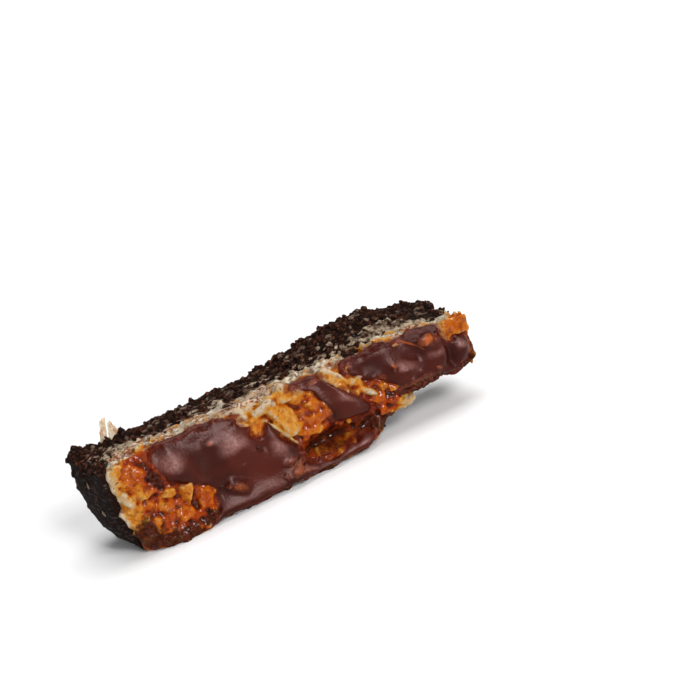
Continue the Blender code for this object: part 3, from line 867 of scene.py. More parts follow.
at_top = aim((-3.0, 108.0), (2.0, 28.5), OVERHEAD, DOWNWARD)
at_broken_end = aim(PAST_BROKEN_END, (6.0, 28.0), (9.0, 27.0), TO_BAKED_END)
at_underside = aim((10.0, 108.0), (8.0, 28.0), UNDERNEATH, UPWARD)
at_baked_end = aim(PAST_BAKED_END, (0.0, 27.0), (1.0, 27.0), TO_BROKEN_END)
at_back = aim((0.0, 106.0), BEHIND, (1.0, 26.0), BACKWARD)
for skin, count, shot, lay in (
    (brownie_skin, 1150, at_top, crumb),
    (coconut_skin, 900, at_coconut_top, crumb_on_coconut),
    (brownie_skin, 1100, at_top, shred_before_seam),
    (brownie_skin, 330, near_coconut, baked_in_shred),
    (brownie_skin, 240, at_broken_end, crumb),
    (brownie_skin, 60, at_broken_end, baked_in_shred),
    (brownie_skin, 320, at_underside, crumb),
    (brownie_skin, 90, at_underside, baked_in_shred),
    (brownie_skin, 8, at_baked_end, crumb),
    (brownie_skin, 8, at_baked_end, baked_in_shred),
    (brownie_skin, 40, at_back, baked_in_shred),
    (brownie_skin, 30, at_back, crumb),
):
    spread(skin, count, shot, lay)
print("brownie solids:", brownie.count)

# %% [markdown]
# One long crumb stands upright beside the two slivers, so its place and size are given.

# %% A crumb beside the slivers
BESIDE_SLIVERS = (14.0, 21.8, OVERHEAD)
TALL_CRUMB = (2.2, 2.0, 6.4)

place, normal, _, _ = brownie_skin.ray_cast(to_world(*BESIDE_SLIVERS), Vector(DOWNWARD))
brownie.add(KINDS["crumb"][0], place, normal, spin=0.0, lean=0.0, size=TALL_CRUMB, tone=0.0)
print("brownie solids with it:", brownie.count)

# %% [markdown]
# Fused crumbs alone would look like gravel. Cells with cracks between them and smooth noise of two sizes push
# the torn sides in and out, and the sides that touched the tin get shallow lumps only. On the cut side the
# brownie before the seam is pale with coconut.

# %% Fuse the brownie and roughen its torn sides
CELL = 1.9  # size of the cells between the cracks
PAST_BASE = 0.7  # how far behind the solids the brownie may stand

brownie_tone = tones_of(brownie)
brownie_piece = fused("brownie", brownie.mesh, voxel=0.42)
mesh = brownie_piece.data
points, normal = read(mesh, "co"), read(mesh, "normal")
place = on_bar(points)
x, y, z = place.T
pale = step(0.2, -0.8, past_seam(place)) * step(0.2, 0.6, normal[:, 2]) * step(24.0, 25.5, z)
pale *= 0.26 + 0.4 * lumps(place, 1.5, 16.0) + 0.4 * lumps(place, 0.8, 17.0)
coconut_in = np.maximum(brownie_tone(points), pale)
crumbly = np.maximum(step(0.1, 0.6, normal[:, 2]) * step(24.0, 26.0, z), step(103.0, 106.0, x))
crumbly = np.maximum(crumbly, step(0.1, 0.6, -normal[:, 2]) * step(20.0, 60.0, x))
cells = np.array([noise.voronoi(Vector(p) / CELL)[0] for p in place])
crack = step(0.0, 0.35, cells[:, 1] - cells[:, 0])
push = crumbly * (0.55 * crack - 0.45 + 0.35 * lumps(place, 0.9, 1.0) + 0.45 * lumps(place, 2.4, 2.0))
push += (1.0 - crumbly) * (0.24 * lumps(place, 3.2, 4.0) + 0.20 * lumps(place, 1.1, 6.0) - 0.12)
push *= 1.0 - 0.8 * (coconut_in > 0.0)
points += normal * push[:, None] * MM
keep_above(points, 0.0)
points[:, 1] = np.minimum(points[:, 1], to_world(0.0, high.y + PAST_BASE, 0.0).y)
write(mesh, points)
paint(mesh, "coconut", coconut_in)
paint(mesh, "relief", relief(mesh, 10))
paint(mesh, "crumbly", crumbly)
print("brownie pushed by", round(float(push.min()), 2), "to", round(float(push.max()), 2), "mm")

# %% [markdown]
# ## The poured chocolate
#
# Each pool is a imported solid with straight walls. Real chocolate creeps round the coconut before it sets, so
# its edge wanders, thins out and follows the lumps, while its middle is smooth and swells over what lies
# beneath. A fluid simulation could pour it, but hardly into these three shapes. So the walls of the solid say
# where the edge is: points near them sway along the face and are pressed down on the coconut, and all others
# are pushed in and out.
#
# Chunks and crumbs lie under the chocolate's skin. They are laid on the solid, sunk by half, and fused with
# it.

# %% Fuse a pool with the chunks under its skin
POOL_LUMPS = (  # x, z, length, width, height, spin in degrees: chunks and crumbs under the chocolate's skin
    (30.0, 8.6, 2.6, 2.0, 1.8, 10),
    (41.6, 14.2, 1.7, 2.1, 1.6, 70),
    (47.6, 7.4, 2.6, 2.0, 1.8, 15),
    (50.2, 6.0, 2.2, 2.0, 1.8, -30),
    (51.8, 7.6, 2.0, 1.6, 1.6, 50),
    (48.8, 4.0, 2.4, 1.8, 1.6, -10),
    (51.8, 3.6, 2.0, 1.5, 1.4, 25),
    (53.0, 5.8, 1.8, 1.4, 1.3, 0),
    (46.0, 4.4, 1.8, 1.5, 1.3, 60),
    (84.4, 19.2, 1.9, 1.7, 1.9, 70),
    (95.4, 22.6, 3.4, 2.4, 3.2, -20),
    (97.4, 21.4, 1.8, 1.6, 1.8, 30),
    (96.4, 13.4, 2.2, 1.6, 1.2, 20),
    (91.6, 14.2, 2.0, 1.8, 1.0, 0),
    (88.4, 13.2, 1.8, 1.4, 0.9, 40),
)
HALF_SUNK = 0.5


def fused_pool(node, name, voxel):
    """The fused pool, and how much each of its points belongs to a chunk under the skin."""
    core = copied(node)
    skin = BVHTree.FromBMesh(core)
    pile = Pile(core)
    for x, z, length, width, height, spin in POOL_LUMPS:
        seat, normal, _, _ = skin.ray_cast(to_world(x, IN_FRONT, z), Vector(FORWARD))
        if seat is not None:
            kind = KINDS["chunk"][pile.count % len(KINDS["chunk"])]
            size = (length, width, height)
            pile.add(kind, seat, normal, math.radians(spin), 0.2, size, 1.0, HALF_SUNK)
    lump_of = tones_of(pile)
    made = fused(name, pile.mesh, voxel)
    return made, lump_of(read(made.data, "co"))


# %% [markdown]
# The edge is pulled where a pool ran wider than its solid, swayed along the face by noise, and relaxed. The
# middle is relaxed more, except over the chunks, so that it looks poured.

# %% Let the edge wander
PULLS = (  # x, z, reach along x and z, shift along x and z in mm: where a pool ran wider than its solid
    (66.6, 12.4, 3.0, 3.4, -2.8, -0.8),
    (73.4, 13.0, 2.0, 3.0, 0.4, -0.6),
    (88.0, 12.4, 7.0, 1.6, 0.0, -0.4),
)


def let_wander(mesh, reach, inside, lump):
    points = read(mesh, "co")
    place = on_bar(points)
    for patch in PULLS:
        pull = near(place[:, 0], place[:, 2], patch)
        points[:, 0] += patch[4] * pull * MM
        points[:, 2] += patch[5] * pull * MM
    for axis, salt in ((0, 1.0), (2, 9.0)):
        sway = 0.9 * lumps(place, 3.4, salt) + 0.5 * lumps(place, 1.3, salt + 3.0)
        points[:, axis] += (1.0 - step(0.5, 4.0, reach)) * sway * MM
    write(mesh, points)
    relaxed(mesh, 0.8 * (1.0 - inside), 5)
    relaxed(mesh, 0.8 * inside * (1.0 - step(0.2, 0.8, lump)), 24)


# %% [markdown]
# On the right pool one pour overlaps another. The edge of the upper one is a line that slants down across the
# pool, and the points measure how far they lie above it.

# %% The overlap of two pours
FOLD = (  # x, and z, of the line along which two pours overlap
    (84, 86.5, 89, 91, 93, 94.2, 97, 101),
    (27, 25.4, 24.4, 22.8, 21, 19.6, 18.9, 20),
)


def above_fold(x, z):
    """How far places lie above the overlap, in millimetres. It fades to nothing at both ends."""
    return (z - np.interp(x, *FOLD)) * step(84.0, 86.0, x) * step(102.0, 99.0, x)


# %% [markdown]
# The chocolate swells where it is thick or covers a flake, dips between, and is torn in a few places. Rows of
# soft patches say where, as they do for the toast.

# %% Swellings, pits and raw patches of the chocolate
SWELLINGS = (  # x, z, reach along x and z, height in mm
    (18.6, 19.5, 4.6, 5.6, 1.0),
    (26.6, 18.0, 3.6, 5.6, -0.8),
    (35.4, 17.6, 6.0, 5.6, 1.1),
    (41.6, 21.0, 2.2, 4.0, -0.4),
    (27.5, 10.5, 5.0, 3.0, -0.4),
    (43.0, 16.5, 1.8, 4.0, -0.7),
    (47.6, 13.2, 3.0, 5.6, 1.1),
    (39.0, 10.5, 4.0, 3.0, -0.3),
    (49.6, 5.6, 3.6, 3.0, 0.5),
    (60.0, 3.2, 16.0, 2.0, 1.4),
    (30.0, 3.2, 8.0, 2.0, 0.6),
    (59.5, 25.4, 2.8, 1.4, -0.5),
    (69.4, 17.2, 2.6, 2.8, 1.3),
    (71.6, 12.8, 3.0, 3.2, 0.9),
    (73.6, 20.6, 2.0, 2.8, 1.0),
    (78.8, 21.2, 3.2, 4.2, -1.1),
    (86.8, 16.8, 3.6, 3.0, 1.3),
    (80.0, 16.0, 2.0, 2.0, -0.4),
    (93.0, 23.4, 3.6, 1.6, 0.3),
    (90.5, 19.8, 2.6, 1.4, -0.5),
    (97.0, 16.4, 3.6, 4.0, 0.9),
    (101.2, 14.6, 1.1, 4.8, -2.0),
    (89.0, 25.2, 3.4, 1.2, 0.6),
    (104.6, 16.4, 2.4, 4.2, 1.4),
    (92.4, 18.8, 0.7, 0.7, -1.2),
    (99.8, 12.8, 1.2, 1.2, -0.8),
    (30.0, 21.6, 1.2, 1.2, 0.8),
)
RAW_PATCHES = (  # x, z, reach along x and z, how torn and light the chocolate is
    (49.5, 5.4, 3.6, 2.8, 0.6),
    (60.0, 0.8, 15.0, 0.8, 0.8),
    (96.4, 13.2, 1.8, 1.2, 0.5),
    (95.8, 22.0, 1.9, 1.5, 0.5),
    (107.6, 15.8, 1.1, 4.4, 1.0),
    (90.0, 11.9, 9.0, 1.8, 0.6),
    (60.0, 25.8, 3.0, 0.9, 0.3),
    (36.5, 12.6, 1.6, 0.5, 0.5),
    (75.0, 5.6, 2.0, 2.0, 0.9),
)
print("swellings and pits:", len(SWELLINGS), "and raw patches:", len(RAW_PATCHES))

# %% [markdown]
# From here on each point of a pool keeps what was measured on it: how far it lies from the edge, which way it
# faces, how much it bulges or is torn, and how far it is from the overlap. One small class holds all that, so
# that the next steps can share it.

# %% What is known of each point of a pool


class Pour:
    """Measures for all points of a pool, taken once its edge has wandered."""

    def __init__(self, mesh, reach, inside, lump):
        self.reach, self.inside, self.lump = reach, inside, lump
        self.normal = read(mesh, "normal")
        self.place = on_bar(read(mesh, "co"))
        self.x, _, self.z = self.place.T
        self.outer = step(0.1, -0.5, self.normal[:, 1])
        self.fold = above_fold(self.x, self.z)
        self.raw = strongest(RAW_PATCHES, self.x, self.z)
        self.bulge = 0.14 * lumps(self.place, 6.0, 2.0) + 0.04 * lumps(self.place, 1.9, 7.0)
        for patch in SWELLINGS:
            self.bulge += patch[4] * near(self.x, self.z, patch)


# %% [markdown]
# The outer side is pushed out by the swellings, a straight-edged block and the upper pour of the overlap, and
# roughened where the chocolate is torn or covers a chunk. The poured face rounds back towards the cut side,
# more so at the baked end, and the chocolate follows it. The back and the walls are pushed into the coconut,
# so that no gap shows. The block is turned, so places are measured along and across its own direction.

# %% Swell the outer side
BLOCKS = (  # x, z, half length, half width, spin in degrees, height: straight edges under the skin
    (33.0, 7.8, 3.0, 1.4, -34, 1.3),
)


def turned_from(x, z, row):
    """Distances along and across a row's own direction, in millimetres."""
    spin = math.radians(row[4])
    side, rise = x - row[0], z - row[1]
    return side * math.cos(spin) + rise * math.sin(spin), rise * math.cos(spin) - side * math.sin(spin)


def lean_back(x, z):
    return step(16.0, 31.0, z) * (1.5 - 0.7 * step(40.0, 70.0, x))


def swollen(points, pour):
    normal, place = pour.normal, pour.place
    swell = pour.bulge.copy()
    for row in BLOCKS:
        along, across = turned_from(pour.x, pour.z, row)
        swell += row[5] * step(0.4, -0.3, abs(along) - row[2]) * step(0.4, -0.3, abs(across) - row[3])
    swell += 1.1 * step(-0.1, 0.6, pour.fold)
    rough = pour.raw * (0.40 * lumps(place, 1.2, 4.0) + 0.25 * lumps(place, 0.7, 5.0))
    rough += 0.35 * pour.lump * lumps(place, 0.9, 6.0)
    push = (np.minimum(swell + rough, 1.5) - 0.6) * pour.inside
    push -= lean_back(pour.x, pour.z) * (0.4 + 0.6 * pour.inside)
    back = step(0.1, 0.6, normal[:, 1])
    wall = step(0.5, 0.2, abs(normal[:, 1]))
    side = wall * (1.0 - step(0.4, 0.7, normal[:, 2]) * step(22.0, 24.0, pour.z))
    return points + normal * (pour.outer * push + back * 1.5 + side * 1.5)[:, None] * MM


# %% [markdown]
# A pool's height is measured in two ways: above the coconut's solid, which tells how thick the chocolate is
# as a whole, and above the coconut's lumps, which tells whether one of them pokes through.

# %% Heights above the coconut
FAR_ABOVE = 8.0
coconut_top = BVHTree.FromObject(coconut_layer, bpy.context.evaluated_depsgraph_get())
print("faces in the coconut's skin:", len(coconut_layer.data.polygons))


def above_core(point):
    """Which way out is at a point, and how far it lies above the solid of the coconut, in millimetres."""
    seat, out, _, _ = coconut_skin.find_nearest(point)
    return out, (point - seat).dot(out) / MM


def above_lumps(point, out):
    """How far a point lies above the coconut's lumps, in millimetres: below 0 inside a lump."""
    hit, _, _, gap = coconut_top.ray_cast(point + out * FAR_ABOVE * MM, -out)
    return gap / MM - FAR_ABOVE if hit else FAR_ABOVE


# %% [markdown]
# Near its edge the chocolate may stand only so far above the coconut: the allowed height follows a quarter
# circle, as the bead of a thick liquid does, and is a little lower than the lumps at the very edge, so that
# it sinks among them. Further in, the opposite holds: no lump may poke through, so the skin is lifted over
# it. Where the skin stays thin, it tells its finish.

# %% Sink the edge among the lumps, and cover the lumps further in
BEAD_WIDTH, BEAD_SINK = 1.6, 0.6
LEAST_COVER = 0.3


def sunk(points, pour):
    wander = pour.reach + 0.6 * lumps(pour.place, 2.4, 21.0)
    bead = np.sqrt(1.0 - (1.0 - np.clip(wander / BEAD_WIDTH, 0.0, 1.0)) ** 2)
    lip = 1.8 + 0.5 * lumps(pour.place, 5.0, 11.0)
    allowed = lip * bead - BEAD_SINK + 3.5 * step(1.2, 3.0, pour.reach)
    for i, point in enumerate(points):
        out, height = above_core(Vector(point))
        if pour.normal[i, 1] < 0.1 and height > allowed[i]:
            points[i] -= np.array(out) * (height - allowed[i]) * MM
    keep_above(points, 0.15)
    return points


def covered(points, pour):
    """Lifts the skin over the lumps in place, and returns how thin it stays, 0 to 1."""
    thin = np.zeros_like(pour.x)
    least = LEAST_COVER * step(1.2, 2.4, pour.reach)
    for i in np.flatnonzero((pour.normal[:, 1] < 0.1) & (pour.reach > 0.2)):
        point = Vector(points[i])
        out, _ = above_core(point)
        cover = above_lumps(point, out)
        if cover < least[i] and pour.reach[i] > 1.2:
            points[i] += np.array(out) * (least[i] - cover) * step(1.2, 2.4, pour.reach[i]) * MM
            cover = least[i]
        thin[i] = (1.0 - step(0.1, 0.9, cover)) * (1.0 - step(1.2, 2.6, pour.reach[i]))
    thin = np.maximum(thin, 0.7 * step(26.0, 26.9, pour.z + 0.5 * lumps(pour.place, 1.6, 23.0)))
    return np.maximum(thin, 0.75 * step(1.7, 0.4, pour.reach + 0.5 * lumps(pour.place, 2.2, 24.0)))


# %% [markdown]
# Last, a pool's points write down what their finish has to know: where it is thin, torn or lumpy, where
# it swells and faces up, which gets a painted highlight, where it dips, which gets painted shade, where it is
# ruddy, as most of the right pool is, and where the orange tip of a chunk or the thin hem of the overlap
# shines through.

# %% Paint what a pool's points are made of
TIPS = (  # x, z, reach along and across, spin in degrees, strength: where a chunk's orange shines through
    (30.0, 21.8, 0.6, 0.6, 0, 0.7),
    (84.3, 19.5, 0.9, 0.9, 0, 0.75),
    (95.8, 22.4, 1.9, 1.3, 0, 1.0),
    (92.4, 21.9, 2.0, 0.5, -38, 0.45),
    (96.4, 13.6, 0.9, 0.6, 0, 0.6),
    (33.2, 7.4, 2.9, 1.3, -34, 0.55),
    (50.4, 4.6, 2.8, 2.4, 0, 0.45),
    (80.6, 17.4, 1.4, 0.9, -30, 0.5),
)


def paint_pool(mesh, pour, thin):
    x, z = pour.x, pour.z
    lit = step(-0.25, 0.2, read(mesh, "normal")[:, 2])
    tip = np.zeros_like(x)
    for row in TIPS:
        along, across = turned_from(x, z, row)
        tip = np.maximum(tip, row[5] * bell(np.hypot(along / row[2], across / row[3])))
    hem = bell((pour.fold - 0.2) / 0.35) * step(86.0, 87.0, x) * step(95.0, 93.5, x)
    for name, values in (
        ("thin", thin),
        ("raw", pour.raw),
        ("lump", neighbours_mean(mesh, pour.lump[:, None], 1)[:, 0]),
        ("relief", relief(mesh, 14)),
        # painted highlight and painted shade: bulge marks swellings that face up, to be painted paler, and dip
        # marks dips, to be painted darker
        ("bulge", np.maximum(pour.outer * pour.inside * pour.bulge, 0.0) * lit),
        ("dip", np.maximum(-pour.outer * pour.inside * pour.bulge, 0.0)),
        ("ruddy", step(70.0, 74.0, x) * (1.0 - step(0.1, 0.5, pour.bulge))),
        ("tip", np.maximum(tip, 0.8 * hem) * pour.outer),
    ):
        paint(mesh, name, values)


# %% [markdown]
# One function now takes a packed pool through all the steps. Between them the skin is relaxed a little, less
# over the chunks. At the end the calm parts are relaxed once more, but not the crease of the overlap.

# %% Pour the three pools


def poured(node, name, voxel):
    """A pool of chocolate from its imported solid."""
    made, lump = fused_pool(node, name, voxel)
    mesh = made.data
    reach = np.array([pool_walls.find_nearest(Vector(p))[3] for p in read(mesh, "co")]) / MM
    inside = step(0.0, 3.4, reach)
    let_wander(mesh, reach, inside, lump)
    pour = Pour(mesh, reach, inside, lump)
    write(mesh, sunk(swollen(read(mesh, "co"), pour), pour))
    soft = 0.6 - 0.5 * step(0.2, 0.8, lump)
    relaxed(mesh, soft, 3)
    points = read(mesh, "co")
    thin = covered(points, pour)
    write(mesh, points)
    relaxed(mesh, soft, 2)
    crease = bell((pour.fold - 0.2) / 0.9) * step(85.0, 86.5, pour.x) * step(97.0, 95.0, pour.x)
    calm = step(2.0, 4.0, reach) * (1.0 - step(0.1, 0.5, lump)) * (1.0 - step(0.1, 0.4, pour.raw))
    calm *= 1.0 - crease
    relaxed(mesh, 0.7 * calm, 10)
    paint_pool(mesh, pour, thin)
    print(name, "is thin at", int((thin > 0.5).sum()), "points")
    return made


pools = [
    poured(POOL_NODES[0], "poured_chocolate_left", voxel=0.32),
    poured(POOL_NODES[1], "poured_chocolate_middle", voxel=0.3),
    poured(POOL_NODES[2], "poured_chocolate_right", voxel=0.3),
]

# %% [markdown]
# Where the chocolate stops, it leaves a thin red-brown film on the coconut. The coconut's points measure how
# near they are to a pool, and keep that for their finish.

# %% The film beside the pools
FILM_WIDTH = 2.5

film = np.zeros(len(coconut_layer.data.vertices))
points = read(coconut_layer.data, "co")
for pool in pools:
    tree = BVHTree.FromObject(pool, bpy.context.evaluated_depsgraph_get())
    for i, point in enumerate(points):
        _, _, _, away = tree.find_nearest(Vector(point), FILM_WIDTH * MM)
        if away is not None:
            film[i] = max(film[i], 1.0 - away / MM / FILM_WIDTH)
paint(coconut_layer.data, "film", film)
print("points with a film:", int((film > 0.0).sum()))

# %% [markdown]
# ## Two slivers of clear coconut
#
# At the baked end two thin slivers of coconut stand up from the crumb. Each is a sheet of coconut flesh that
# the grater tore off: a thin box with many faces, its top corners cut off at a slant, roughened and bent.

# %% The slivers


def sliver(name, foot, size, slants, spin, lean, folds):
    """A torn sheet of size (width, thickness, height) in mm, each slant cut given as (side, up, tilt)."""
    piece = bmesh.new()
    bmesh.ops.create_cube(piece, size=1.0)
    bmesh.ops.subdivide_edges(piece, edges=piece.edges[:], cuts=11, use_grid_fill=True)
    for side, up, tilt in slants:
        sliced(piece, Vector((side, 0.0, up - 0.5)), Vector((math.sin(tilt), 0.0, math.cos(tilt))))
    for v in piece.verts:
        side, up = v.co.x, v.co.z + 0.5
        thick = v.co.y * size[1] * (1.0 - 0.6 * abs(side) - 0.5 * up)
        v.co = Vector((side * size[0] + lean * up, thick + folds * math.sin(side * 12.0) * up, up * size[2]))
        rough = noise.noise_vector(v.co / 0.7 + Vector(foot))
        v.co += Vector((0.30 * rough.x, 0.12 * rough.y, 0.40 * rough.z * up))
    bmesh.ops.triangulate(piece, faces=piece.faces)
    bmesh.ops.rotate(piece, verts=piece.verts, matrix=Matrix.Rotation(spin, 3, "Z"))
    bmesh.ops.scale(piece, verts=piece.verts, vec=(MM, MM, MM))
    bmesh.ops.translate(piece, verts=piece.verts, vec=to_world(*foot))
    bmesh.ops.recalc_face_normals(piece, faces=piece.faces)
    made = object_of(name, piece)
    made.data.shade_smooth()
    return made


noise.seed_set(7)  # noise_vector, unlike noise.noise, would differ from run to run without a seed
TALL_SLANTS = [(0.15, 1.0, 1.234), (-0.3, 0.94, -0.5)]
FAN_SLANTS = [(-0.25, 1.0, 0.65), (-0.4, 0.9, -0.6)]
slivers = [
    sliver("coconut_sliver_tall", (8.6, 24.2, 25.4), (2.3, 0.9, 7.4), TALL_SLANTS, -0.2, 2.6, 0.1),
    sliver("coconut_sliver_fan", (11.3, 22.6, 25.4), (3.0, 0.9, 6.2), FAN_SLANTS, 0.15, 1.6, 0.22),
]
print("slivers:", [len(s.data.polygons) for s in slivers])

# %% [markdown]
# ## Materials written as sums
#
# A node material is arithmetic on pictures of numbers. One small class wraps a socket, so that a sum written
# in Python adds the Math nodes, and one method adds any other node.

# %% Sockets that can be added and multiplied


class Field:
    """A number that changes over a surface. Python's arithmetic on it adds Math nodes."""

    def __init__(self, finish, socket):
        self.finish, self.socket = finish, socket

    def _math(self, operation, *terms):
        values = {i: t.socket if isinstance(t, Field) else t for i, t in enumerate(terms)}
        return self.finish.add("ShaderNodeMath", {"operation": operation}, values)

    def __add__(self, other):
        return self._math("ADD", self, other)

    def __radd__(self, other):
        return self._math("ADD", other, self)

    def __sub__(self, other):
        return self._math("SUBTRACT", self, other)

    def __rsub__(self, other):
        return self._math("SUBTRACT", other, self)

    def __mul__(self, other):
        return self._math("MULTIPLY", self, other)

    def __rmul__(self, other):
        return self._math("MULTIPLY", other, self)

    def within(self, low_end, high_end):
        """0 at low_end, 1 at high_end, and a smooth rise between. low_end may be the larger one."""
        settings = {"interpolation_type": "SMOOTHSTEP"}
        return self.finish.add("ShaderNodeMapRange", settings, {0: self, 1: low_end, 2: high_end})


# %% [markdown]
# Each material is one finish, such as satin chocolate. It has methods for the nodes that this bar needs: an
# attribute of the points, noise of a size in millimetres, a mix of two colours, and bumps too small to model.

# %% A finish, built by adding nodes


class Finish:
    """A material with one Principled shader, built by add()."""

    def __init__(self, name, **constants):
        self.material = bpy.data.materials.new(name)
        self.material.use_nodes = True
        self.tree = self.material.node_tree
        self.shader = self.tree.nodes["Principled BSDF"]
        for socket, value in constants.items():
            self.shader.inputs[socket.replace("_", " ")].default_value = value
        self.place = self.add("ShaderNodeTexCoord", {}, {}, "Object")

    def add(self, kind, settings, inputs, output=0):
        node = self.tree.nodes.new(kind)
        for name, value in settings.items():
            if name == "stops":
                self._stops(node.color_ramp.elements, value)
            else:
                setattr(node, name, value)
        for name, value in inputs.items():
            value = value.socket if isinstance(value, Field) else value
            if isinstance(value, bpy.types.NodeSocket):
                self.tree.links.new(value, node.inputs[name])
            else:
                node.inputs[name].default_value = value
        return Field(self, node.outputs[output])

    @staticmethod
    def _stops(elements, stops):
        while len(elements) < len(stops):
            elements.new(1.0)
        for element, (position, colour) in zip(elements, stops):
            element.position = position
            element.color = colour

    def attribute(self, name):
        return self.add("ShaderNodeAttribute", {"attribute_name": name}, {}, "Fac")

    def grain(self, size, detail=2.0, rough=0.5):
        """Noise from 0 to 1 with lumps of that many millimetres."""
        inputs = {"Vector": self.place, "Scale": 1.0 / (size * MM), "Detail": detail, "Roughness": rough}
        return self.add("ShaderNodeTexNoise", {}, inputs)

    def ramp(self, value, stops):
        return self.add("ShaderNodeValToRGB", {"stops": stops}, {"Fac": value})

    def mix(self, share, first, second):
        return self.add("ShaderNodeMix", {"data_type": "RGBA"}, {0: share, 6: first, 7: second}, 2)

    def bump(self, height, strength, distance):
        inputs = {"Height": height, "Strength": strength, "Distance": distance * MM}
        return self.add("ShaderNodeBump", {}, inputs)

    def feed(self, socket, value):
        self.tree.links.new(value.socket, self.shader.inputs[socket])


# %% [markdown]
# Colours are given as they look on screen, because that is how they can be compared with the real bar. A
# shader counts light instead, so one function turns the first into the second.

# %% Colours as they look on screen


def colour(red, green, blue):
    """A colour given as it looks on screen, 0 to 255, in the linear values that a shader takes."""
    parts = [c / 255.0 for c in (red, green, blue)]
    linear = [p / 12.92 if p <= 0.04045 else ((p + 0.055) / 1.055) ** 2.4 for p in parts]
    return (*linear, 1.0)


print("a mid grey as a shader counts it:", [round(c, 3) for c in colour(128, 128, 128)])

# %% [markdown]
# ## Chocolate
#
# Set chocolate is satin: it scatters a soft wide highlight. Its body is nearly black-brown. Its swellings that
# face up are painted paler and a little purple, a painted highlight, and its dips and crevices are painted
# darker, as painted shade. Where it is thin, the coconut's orange shines through, and where it is torn it is
# lighter and rough. A picture could be projected on it, but noise and the points' own attributes keep the
# finish on the shape from all sides.

# %% The chocolate's finish
chocolate = Finish(
    "poured_chocolate", Roughness=0.4, Specular_IOR_Level=0.16, Specular_Tint=(1.0, 0.72, 0.68, 1.0)
)
grain, mix = chocolate.grain, chocolate.mix
thin, raw, swell, lump, tip = (chocolate.attribute(n) for n in ("thin", "raw", "relief", "lump", "tip"))
bulge, dip, ruddy = (chocolate.attribute(n) for n in ("bulge", "dip", "ruddy"))

clouds = grain(9.0).within(0.35, 0.65)
body = mix(clouds, colour(42, 7, 2), colour(57, 15, 6))
# painted highlight: where the swellings face up, the chocolate is painted a paler, slightly purple brown with a
# fine grain, standing in for a broad soft highlight
painted_highlight = (bulge + 0.7 * (grain(5.0, detail=3.0) - 0.5)).within(0.0, 1.3)
frost = grain(0.7, detail=4.0).within(0.36, 0.64)
body = mix(painted_highlight * (0.48 + 0.34 * frost), body, colour(118, 82, 78))
# painted shade: crevices in the chocolate's surface are painted darker
body = mix(swell.within(-0.06, -0.3) * 0.8, body, colour(26, 8, 5))
body = mix(ruddy * 0.9, body, colour(44, 6, 2))
# painted shade: the chocolate's dips are painted darker, and made rougher
painted_dip_shade = dip.within(0.1, 0.9)
body = mix(painted_dip_shade * 0.7, body, colour(38, 9, 4))
edge = (thin + 0.8 * grain(0.9) - 0.4).within(0.45, 1.0)
body = mix(edge * 0.65, body, colour(88, 30, 14))
torn = (raw + 0.7 * grain(0.9) - 0.35).within(0.25, 0.75)
body = mix(torn * 0.85, body, mix(grain(0.7), colour(62, 26, 16), colour(120, 68, 44)))
over_chunks = (lump * 0.5 + swell + 1.6 * grain(0.9) - 0.8).within(0.3, 0.9)
body = mix(over_chunks * 0.5, body, colour(88, 38, 22))
shone_through = (tip + 0.7 * grain(0.8, detail=4.0) - 0.35).within(0.15, 1.0)
body = mix(shone_through * 0.85, body, colour(150, 74, 30))
chocolate.feed("Base Color", body)
chocolate.feed("Roughness", 0.25 + 0.12 * grain(2.2) + 0.25 * torn + 0.2 * painted_dip_shade)
skin = grain(2.4) * 0.4 + grain(0.6) * 0.16 + grain(0.5, detail=4.0) * torn
chocolate.feed("Normal", chocolate.bump(skin, 1.0, 0.3))
print("nodes in the chocolate's finish:", len(chocolate.tree.nodes))

# %% [markdown]
# ## Coconut
#
# Toasted coconut is sticky and lets light in, so its colour is deep and clear. One ramp runs from the cream
# of the cut shreds through gold and orange to dark amber. The relief shifts the toast before the ramp turns it
# into a colour: raised places and ridges are painted paler, as painted highlight, and crevices darker, as
# painted shade.

# %% The coconut's finish: toast
COCONUT_RAMP = (
    (0.00, colour(164, 146, 122)),
    (0.14, colour(150, 126, 92)),
    (0.22, colour(166, 120, 58)),
    (0.30, colour(160, 104, 34)),
    (0.45, colour(146, 76, 12)),
    (0.60, colour(130, 50, 6)),
    (0.75, colour(116, 37, 5)),
    (0.88, colour(92, 24, 5)),
    (1.00, colour(44, 9, 4)),
)

coconut_finish = Finish(
    "toasted_coconut",
    Subsurface_Weight=0.45,
    Subsurface_Radius=(1.0, 0.5, 0.2),
    Subsurface_Scale=1.0 * MM,
    Specular_IOR_Level=0.02,
    Specular_Tint=(1.0, 0.85, 0.72, 1.0),
    Coat_Roughness=0.08,
)
grain, mix = coconut_finish.grain, coconut_finish.mix
toast, rise, ridge, cut = (coconut_finish.attribute(n) for n in ("toast", "relief", "ridge", "cut"))
smear, film, scorch, rim = (coconut_finish.attribute(n) for n in ("smear", "film", "scorch", "rim"))
hollow, reddened, crumbed = (coconut_finish.attribute(n) for n in ("hollow", "reddened", "crumbed"))

speckle = grain(1.4, detail=3.0)
# painted light: raised places and ridges are painted paler as highlight, and crevices darker as shade
crevice_shade = rise.within(-0.02, -0.4)
toast_and_painted_light = toast + 0.2 * (speckle - 0.5) - 0.6 * rise + 0.3 * crevice_shade - 0.5 * ridge
toast_and_painted_light = toast_and_painted_light + 0.3 * (grain(4.0) - 0.5) + 0.2 * (grain(0.6) - 0.5)
flesh = coconut_finish.ramp(toast_and_painted_light, COCONUT_RAMP)
poured_side = 1.0 - cut
# painted shade: the poured side's crevices are painted a dark amber-brown
flesh = mix(rise.within(-0.08, -0.34) * 0.7 * poured_side, flesh, colour(58, 19, 6))
# painted shade: the hollow below the middle pool is painted dark
flesh = mix(hollow * 0.76, flesh, colour(34, 13, 4))
print("stops in the coconut's ramp:", len(COCONUT_RAMP))

# %% [markdown]
# The knife-cut side never browned. It is grey-cream, with tan patches, brown between the shreds, and reddish
# grains where the knife dragged syrup and chocolate over it.

